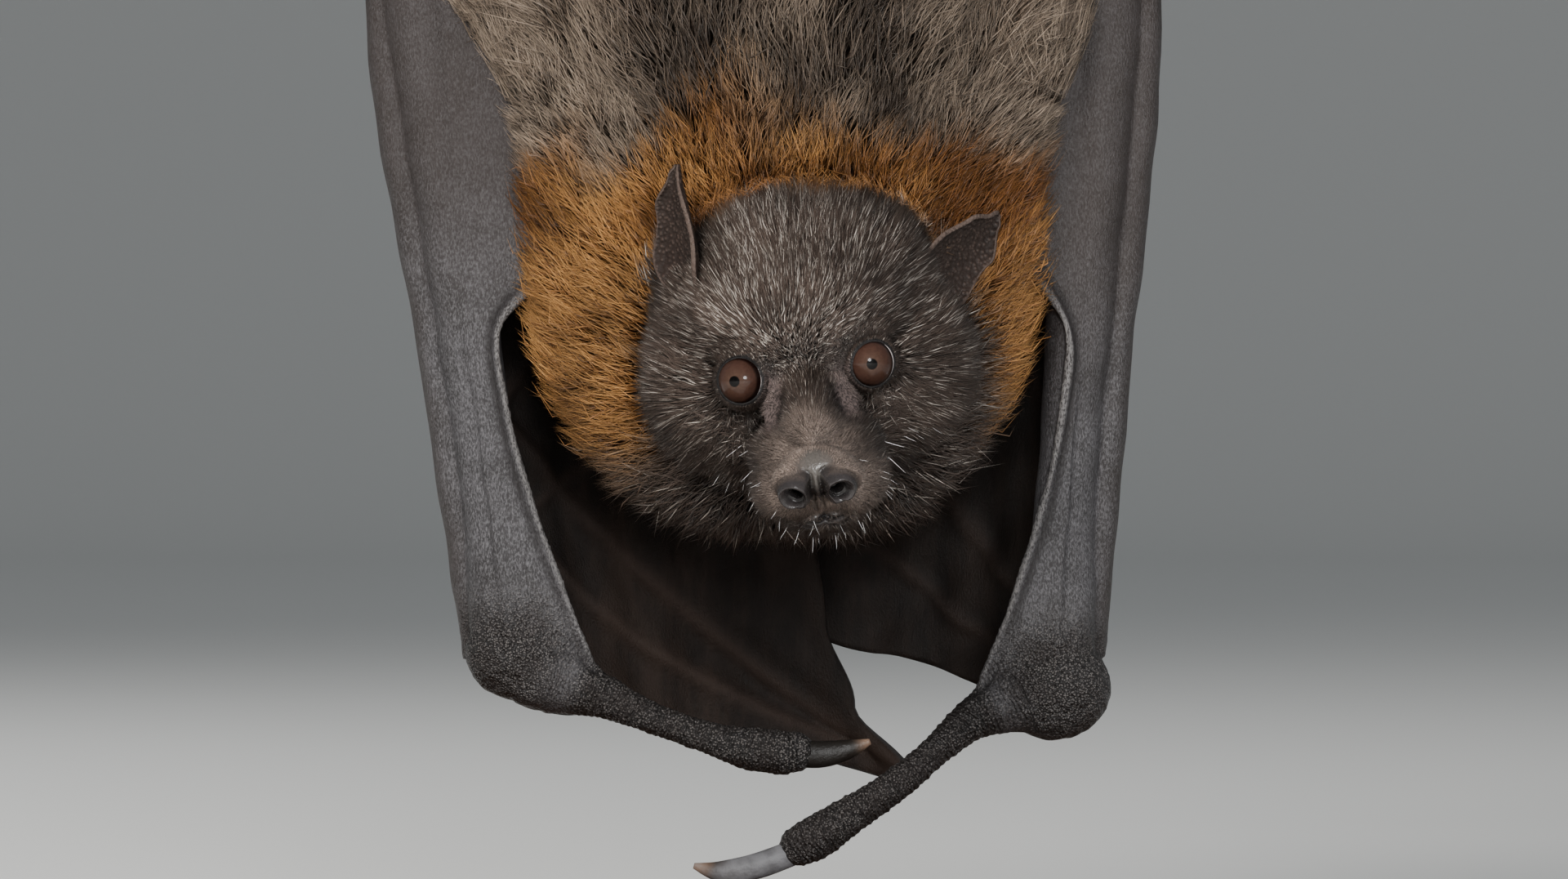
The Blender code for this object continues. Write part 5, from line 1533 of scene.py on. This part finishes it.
def make_whiskers(hide, count):
    """Coarse pale hairs on the chin and the whisker pads, and longer ones along the jaw."""
    rng = np.random.default_rng(77)

    def chin(points):
        return np.exp(-(((in_head(points) - (0, -0.020, -0.0230)) / (0.0160, 0.009, 0.004)) ** 2).sum(1))

    def where(points):
        here = in_head(points)
        jaw = np.exp(-(((np.abs(here) - (0.012, 0.008, 0.019)) / (0.007, 0.010, 0.005)) ** 2).sum(1))
        pads = np.exp(-(((np.abs(here) - (0.0105, 0.021, 0.013)) / (0.003, 0.005, 0.003)) ** 2).sum(1))
        return (0.60 * chin(points) + 0.55 * jaw * (here[:, 2] < -0.010) + 0.8 * pads) * on_head(points)

    roots, normals, _ = hide.scatter(count, where, rng)
    outwards = unit(in_head(roots) * (1.2, 0.35, 1.0)) @ HEAD_TURN.T
    ways = normals * 0.55 + outwards * 0.8 + rng.normal(size=roots.shape) * 0.13 + (0, -0.10, -0.15)
    ways = unit(ways + chin(roots)[:, None] * (rng.normal(size=roots.shape) * 0.25 + (0, 0.1, -0.5)))
    mesh = bpy.data.meshes.new("whisker_roots")
    mesh.from_pydata((roots - normals * 0.0003).tolist(), [], [])
    stored = mesh.attributes.new("way", "FLOAT_VECTOR", "POINT")
    stored.data.foreach_set("vector", ways.astype(np.float32).ravel())
    note(mesh, size=(0.55 + 0.75 * step(0.010, 0.034, from_nose(roots))) * (1 + 0.25 * chin(roots)))
    obj = add_object("whisker_roots", mesh)
    nodes = obj.modifiers.new("hairs", "NODES")
    nodes.node_group = whisker_tree()
    for socket in nodes.node_group.interface.items_tree:
        if socket.in_out == "INPUT" and socket.name == "Material":
            nodes[socket.identifier] = whisker_look()
    mesh = settled(obj)
    return piece("whiskers", mesh, mesh.materials[0], "head_coat")


# ---------------------------------------------------------------- branch, stand and stage
def make_branch():
    """A cut length of branch with furrowed bark, knots and sawn ends."""
    length = BRANCH_HIGH.x - BRANCH_LOW.x
    rings, sides = 230, 68
    t = np.linspace(-0.5, 0.5, rings)
    x = length * t
    away = np.maximum(0, np.abs(x) - 0.045)
    sway = 0.10 * away * away * np.sign(x)
    swell = 1 + np.minimum(1, away / 0.03) * (0.05 * np.sin(67 * x + 1) + 0.03 * np.sin(151 * x))
    turn = np.arange(sides) / sides * math.tau
    grid_x, grid_turn = np.meshgrid(x, turn, indexing="ij")
    flat = np.stack([grid_x * 0.30, np.cos(grid_turn) * 0.013, np.sin(grid_turn) * 0.013], -1).reshape(-1, 3)
    rough = (wobble(flat, 330, 41)[:, 0] * 0.00030 + wobble(flat, 800, 42)[:, 0] * 0.00022
             - 0.0004 * np.abs(wobble(flat, 520, 43)[:, 1])).reshape(rings, sides)
    for spot, angle, size in ((-0.118, 1.0, 0.0075), (0.112, 2.6, 0.0060), (0.158, 0.4, 0.0050)):
        apart = np.hypot(grid_x - spot, (np.angle(np.exp(1j * (grid_turn - angle)))) * 0.013)
        rough += 0.0030 * np.exp(-(apart / size) ** 2) - 0.0022 * np.exp(-(apart / (size * 0.35)) ** 2)
    grip = step(0.030, 0.045, np.abs(grid_x))
    radius = BRANCH_RADIUS * swell[:, None] + rough * (0.35 + 0.65 * grip) - 0.0002
    bevel = 0.0012 * step(0.0025, 0.0, length / 2 - np.abs(grid_x))
    radius = radius - bevel
    points = np.stack([grid_x, BRANCH_CENTRE.y + sway[:, None] + radius * np.cos(grid_turn),
                       BRANCH_CENTRE.z + radius * np.sin(grid_turn)], -1)
    bm = bmesh.new()
    rows = [[bm.verts.new(point) for point in row] for row in points]
    for first, second in zip(rows, rows[1:]):
        for k in range(sides):
            bm.faces.new((first[k], first[(k + 1) % sides], second[(k + 1) % sides], second[k]))
    sawn = []
    for row, end in ((rows[0], -1), (rows[-1], 1)):
        ring = row
        middle = Vector((end * length / 2, BRANCH_CENTRE.y + sway[0 if end < 0 else -1], BRANCH_CENTRE.z))
        for share in (0.85, 0.6, 0.35, 0.12):
            inner = [bm.verts.new(middle.lerp(vert.co, share)) for vert in row]
            for k in range(sides):
                bm.faces.new((ring[k], ring[(k + 1) % sides], inner[(k + 1) % sides], inner[k]))
            ring = inner
            sawn += inner
        bm.faces.new(ring)
    bm.verts.index_update()
    marked = np.zeros(len(bm.verts))
    marked[[vert.index for vert in sawn]] = 1.0
    mesh = solid(bm)
    points = points_of(mesh)
    bend = np.interp(points[:, 0], x, sway)
    from_pith = np.hypot(points[:, 1] - BRANCH_CENTRE.y - bend, points[:, 2] - BRANCH_CENTRE.z)
    note(mesh, sawn=marked, from_pith=from_pith)
    return piece("branch_wood", mesh, look_of("bark"), "bark", "perch_branch", smooth_angle=50)


def turned(profile, centre, sides):
    """A solid of revolution about +Z. The profile's (radius, height) pairs run from the axis to the axis."""
    bm = bmesh.new()
    verts = [bm.verts.new((radius, 0, height)) for radius, height in profile]
    edges = [bm.edges.new(pair) for pair in zip(verts, verts[1:])]
    bmesh.ops.spin(bm, geom=verts + edges, axis=(0, 0, 1), cent=(0, 0, 0), angle=math.tau, steps=sides,
                   use_merge=True)
    bmesh.ops.remove_doubles(bm, verts=bm.verts[:], dist=1e-6)
    bmesh.ops.translate(bm, verts=bm.verts[:], vec=centre)
    return solid(bm)


def make_stand():
    """The base keeps its solid in a wood finish; the rods are turned finer, with a collar on a plate."""
    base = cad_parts["stand_base"]
    base.data.materials.clear()
    base.data.materials.append(look_of("wood"))
    for side in SIDES:
        low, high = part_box(f"stand_rod_{side}")
        radius = 0.0045
        foot, top = low.z, high.z
        profile = [(0, foot), (0.0148, foot), (0.0150, foot + 0.0003), (0.0150, foot + 0.0022),
                   (0.0147, foot + 0.0028), (0.0138, foot + 0.0035), (0.0078, foot + 0.0040),
                   (0.0069, foot + 0.0046), (0.0066, foot + 0.0120), (0.0060, foot + 0.0126),
                   (radius, foot + 0.0128), (radius, top - 0.0004), (0, top)]
        centre = ((low.x + high.x) / 2, (low.y + high.y) / 2, 0)
        rod = turned(profile, centre, 56)
        piece(f"stand_rod_turned_{side}", rod, look_of("steel"), "stand_steel", f"stand_rod_{side}",
              smooth_angle=35)


def make_stage():
    """A pale floor that sweeps up far behind, soft lights and the camera."""
    props = bpy.context.scene.bat_stage
    bm = bmesh.new()
    outline = [(-FLOOR_REACH, 0.0), (WALL_Y, 0.0)]
    outline += [(WALL_Y + WALL_CURVE * math.sin(turn), WALL_CURVE - WALL_CURVE * math.cos(turn))
                for turn in np.linspace(0.12, math.pi / 2, 14)]
    outline.append((WALL_Y + WALL_CURVE, WALL_TOP))
    rows = [[bm.verts.new((x, y, z)) for x in (-FLOOR_REACH, FLOOR_REACH)] for y, z in outline]
    for first, second in zip(rows, rows[1:]):
        bm.faces.new((first[0], first[1], second[1], second[0]))
    mesh = bpy.data.meshes.new("studio_floor")
    bm.to_mesh(mesh)
    bm.free()
    look = Look("studio_floor", Roughness=0.85, Base_Color=(*props.floor_colour, 1.0))
    mesh.materials.append(look.material)
    mesh.shade_smooth()
    floor = add_object("studio_floor", mesh)

    world = bpy.data.worlds.new("studio")
    bpy.context.scene.world = world
    world.use_nodes = True
    background = world.node_tree.nodes["Background"]
    background.inputs["Color"].default_value = (0.90, 0.95, 1.0, 1.0)
    background.inputs["Strength"].default_value = props.fill

    target = Vector((0, -0.03, 0.13))
    for name, place, width, height, power in (
            ("key", (-0.52, -1.00, 0.86), 0.60, 0.45, props.key),
            ("side", (1.05, -1.05, 0.06), 0.9, 0.9, props.key * 0.50),
            ("flash", (0.14, -1.30, 0.34), 0.34, 0.32, props.key * 0.44),
            ("back", (-0.7, 0.9, 1.3), 0.8, 0.8, props.key * 0.5)):
        lamp = bpy.data.lights.new(f"studio_{name}", "AREA")
        lamp.shape, lamp.size, lamp.size_y, lamp.energy = "ELLIPSE", width, height, power
        lamp.color = (1.0, 0.965, 0.92) if name == "key" else (1.0, 1.0, 1.0)
        obj = add_object(f"studio_{name}", lamp)
        obj.location = place
        obj.rotation_euler = (target - Vector(place)).to_track_quat("-Z", "Y").to_euler()
        obj.visible_glossy = name == "flash"

    camera = bpy.data.cameras.new("camera")
    camera.sensor_width = 36.0
    camera.lens = props.lens
    camera.clip_start, camera.clip_end = 0.05, 20.0
    seen = add_object("camera", camera)
    seen.location = (0.0, -props.distance, props.height)
    seen.rotation_euler = (math.radians(90), 0, 0)
    bpy.context.scene.camera = seen


# ---------------------------------------------------------------- settings
class BatCoat(bpy.types.PropertyGroup):
    head_tufts: bpy.props.IntProperty(name="Head tufts", description="Tufts on the head",
                                      default=84000, min=100)
    face_tufts: bpy.props.IntProperty(name="Face tufts", description="Tufts on the muzzle and round the eyes",
                                      default=40000, min=100)
    mantle_tufts: bpy.props.IntProperty(name="Mantle tufts", description="Tufts in the collar of long fur",
                                        default=37500, min=100)
    back_tufts: bpy.props.IntProperty(name="Back tufts", description="Tufts on the back",
                                      default=19500, min=100)
    belly_tufts: bpy.props.IntProperty(name="Belly tufts", description="Tufts on the belly",
                                       default=10500, min=100)
    arm_tufts: bpy.props.IntProperty(name="Arm tufts", description="Tufts on the upper arms",
                                     default=15500, min=100)
    leg_tufts: bpy.props.IntProperty(name="Leg tufts", description="Tufts on the legs",
                                     default=10000, min=100)
    whiskers: bpy.props.IntProperty(name="Whiskers", description="Coarse hairs on chin, lips and jaw",
                                    default=84, min=0)
    silver: bpy.props.FloatProperty(name="Silver share", description="Share of the tufts with silver tips",
                                    default=0.11, min=0, max=1, subtype="FACTOR")


class BatColours(bpy.types.PropertyGroup):
    mantle_tip: bpy.props.FloatVectorProperty(name="Mantle tips", description="Colour of the mantle's tips",
                                              default=(0.500, 0.265, 0.092), subtype="COLOR", min=0, max=1)
    back_tip: bpy.props.FloatVectorProperty(name="Back tips", description="Colour of the back's tips",
                                            default=(0.330, 0.262, 0.200), subtype="COLOR", min=0, max=1)
    silver_tip: bpy.props.FloatVectorProperty(name="Silver tips", description="Colour of the palest tips",
                                              default=(0.560, 0.510, 0.455), subtype="COLOR", min=0, max=1)
    wing_dark: bpy.props.FloatVectorProperty(name="Wing, darker", description="The wing hide's darker grey",
                                             default=(0.033, 0.031, 0.032), subtype="COLOR", min=0, max=1)
    wing_light: bpy.props.FloatVectorProperty(name="Wing, paler", description="The wing hide's paler grey",
                                              default=(0.066, 0.063, 0.067), subtype="COLOR", min=0, max=1)


class BatStage(bpy.types.PropertyGroup):
    floor_colour: bpy.props.FloatVectorProperty(name="Floor", description="Colour of floor and backdrop",
                                                default=(0.72, 0.72, 0.70), subtype="COLOR", min=0, max=1)
    key: bpy.props.FloatProperty(name="Key light", description="Power of the main light",
                                 default=24.0, min=0, unit="POWER")
    fill: bpy.props.FloatProperty(name="Fill", description="Strength of the light from all round",
                                  default=0.26, min=0)
    distance: bpy.props.FloatProperty(name="Camera distance", description="From the camera to the bat",
                                      default=1.30, min=0.1, unit="LENGTH")
    height: bpy.props.FloatProperty(name="Camera height", description="Of the camera above the floor",
                                    default=0.1195, min=0.01, unit="LENGTH")
    lens: bpy.props.FloatProperty(name="Lens", description="Focal length of the camera in millimetres",
                                  default=143.4, min=10)


# ---------------------------------------------------------------- operators
class MakeStage(bpy.types.Operator):
    """Adds the floor, the lights and the camera"""
    bl_idname = "fruit_bat.stage"
    bl_label = "Stage"

    def execute(self, context):
        make_stage()
        return {"FINISHED"}


class MakeBodySkin(bpy.types.Operator):
    """Adds the skin of the head, body, upper arms and legs"""
    bl_idname = "fruit_bat.body_skin"
    bl_label = "Body skin"

    def execute(self, context):
        make_body_skin()
        return {"FINISHED"}


class MakeEyes(bpy.types.Operator):
    """Adds both eyeballs"""
    bl_idname = "fruit_bat.eyes"
    bl_label = "Eyes"

    def execute(self, context):
        for side in SIDES:
            make_eye(side)
        return {"FINISHED"}


class MakeEars(bpy.types.Operator):
    """Adds both ears"""
    bl_idname = "fruit_bat.ears"
    bl_label = "Ears"

    def execute(self, context):
        for side in SIDES:
            make_ear(side)
        return {"FINISHED"}


class MakeWings(bpy.types.Operator):
    """Adds both wings, with forearms, thumbs and webs"""
    bl_idname = "fruit_bat.wings"
    bl_label = "Wings"

    def execute(self, context):
        for side in SIDES:
            make_wing(side)
        return {"FINISHED"}


class MakeFeet(bpy.types.Operator):
    """Adds both feet and every claw"""
    bl_idname = "fruit_bat.feet"
    bl_label = "Feet and claws"

    def execute(self, context):
        for side in SIDES:
            make_foot(side)
        make_claws()
        return {"FINISHED"}


class GrowHeadCoat(bpy.types.Operator):
    """Grows the head's coat and the short fuzz of the face"""
    bl_idname = "fruit_bat.head_coat"
    bl_label = "Head coat"

    def execute(self, context):
        coat, hide = context.scene.bat_coat, Hide(bpy.data.objects["body_skin"])
        grow(hide, "face_coat", "head_coat", coat.face_tufts, face_density, back_from_nose, 11, rings=1,
             thick=0.00014, lie=1.5, unruly=0.26, clump=0.20, per_clump=7, silver=coat.silver * 0.5,
             deep=face_depth, finest=0.75, lay_out=head_layout)
        grow(hide, "head_coat", "head_coat", coat.head_tufts, head_density, back_from_nose, 12, rings=1,
             thick=0.00019, lie=1.1, unruly=0.24, crook=0.08, clump=0.28, per_clump=9, silver=coat.silver,
             deep=head_depth, finest=0.6, lay_out=head_layout, split=0.003)
        return {"FINISHED"}


class GrowMantle(bpy.types.Operator):
    """Grows the long golden fur round the neck"""
    bl_idname = "fruit_bat.mantle_coat"
    bl_label = "Mantle"

    def execute(self, context):
        coat, hide = context.scene.bat_coat, Hide(bpy.data.objects["body_skin"])
        grow(hide, "mantle_coat", "mantle_coat", coat.mantle_tufts, mantle_density, out_from_face, 13,
             thick=0.00017, lie=1.0, stand=0.9, unruly=0.27, crook=0.15, clump=0.60, per_clump=10,
             silver=coat.silver, deep=mantle_depth, split=0.0)
        return {"FINISHED"}


class GrowBodyCoat(bpy.types.Operator):
    """Grows the fur of the back, belly, upper arms and legs"""
    bl_idname = "fruit_bat.body_coat"
    bl_label = "Body coat"

    def execute(self, context):
        coat, hide = context.scene.bat_coat, Hide(bpy.data.objects["body_skin"])
        grow(hide, "back_coat", "coat", coat.back_tufts, lambda p: on_trunk(p) * (p[:, 1] < 0.002),
             up_the_body, 14, thick=0.00021, lie=1.4, stand=0.9, unruly=0.30, clump=0.5, per_clump=14)
        grow(hide, "belly_coat", "coat", coat.belly_tufts, lambda p: on_trunk(p) * (p[:, 1] >= 0.002),
             up_the_body, 15, thick=0.00026, lie=1.6, stand=0.9, unruly=0.24, clump=0.5, per_clump=14)
        grow(hide, "arm_coat", "coat", coat.arm_tufts, on_arm, down_the_arm, 16, thick=0.00018, lie=2.6,
             stand=0.9, unruly=0.26, clump=0.4, per_clump=12)
        grow(hide, "leg_coat", "leg_coat", coat.leg_tufts, on_leg, along_the_leg, 17, thick=0.00020, lie=1.8,
             stand=0.9, unruly=0.20, clump=0.35, per_clump=12,
             deep=lambda points, depth: np.clip(depth, 0.0008, 0.0055))
        return {"FINISHED"}


class GrowWhiskers(bpy.types.Operator):
    """Grows the coarse hairs of the chin, lips and jaw"""
    bl_idname = "fruit_bat.whiskers"
    bl_label = "Whiskers"

    def execute(self, context):
        make_whiskers(Hide(bpy.data.objects["body_skin"]), context.scene.bat_coat.whiskers)
        return {"FINISHED"}


class MakeBranch(bpy.types.Operator):
    """Adds the branch that the bat hangs from"""
    bl_idname = "fruit_bat.branch"
    bl_label = "Branch"

    def execute(self, context):
        make_branch()
        return {"FINISHED"}


class MakeStand(bpy.types.Operator):
    """Finishes the display stand"""
    bl_idname = "fruit_bat.stand"
    bl_label = "Stand"

    def execute(self, context):
        make_stand()
        return {"FINISHED"}


OPERATORS = (MakeStage, MakeBodySkin, MakeEyes, MakeEars, MakeWings, MakeFeet, GrowHeadCoat, GrowMantle,
             GrowBodyCoat, GrowWhiskers, MakeBranch, MakeStand)


class BatPanel(bpy.types.Panel):
    """The bat's pieces and settings"""
    bl_idname = "VIEW3D_PT_fruit_bat"
    bl_label = "Fruit Bat"
    bl_space_type = "VIEW_3D"
    bl_region_type = "UI"
    bl_category = "Fruit Bat"

    def draw(self, context):
        for group in (context.scene.bat_coat, context.scene.bat_colours, context.scene.bat_stage):
            box = self.layout.box()
            for name in group.__annotations__:
                box.prop(group, name)
        for operator in OPERATORS:
            self.layout.operator(operator.bl_idname)


GROUPS = {"bat_coat": BatCoat, "bat_colours": BatColours, "bat_stage": BatStage}


def register():
    for group in GROUPS.values():
        bpy.utils.register_class(group)
    for name, group in GROUPS.items():
        setattr(bpy.types.Scene, name, bpy.props.PointerProperty(type=group))
    for made in (*OPERATORS, BatPanel):
        bpy.utils.register_class(made)


def unregister():
    for made in (*OPERATORS, BatPanel):
        bpy.utils.unregister_class(made)
    for name, group in GROUPS.items():
        delattr(bpy.types.Scene, name)
        bpy.utils.unregister_class(group)


def main():
    register()
    for operator in OPERATORS:
        category, name = operator.bl_idname.split(".")
        result = getattr(getattr(bpy.ops, category), name)()
        if result != {"FINISHED"}:
            raise RuntimeError(f"{operator.bl_label} wasn't made")


if __name__ == "__main__":
    main()
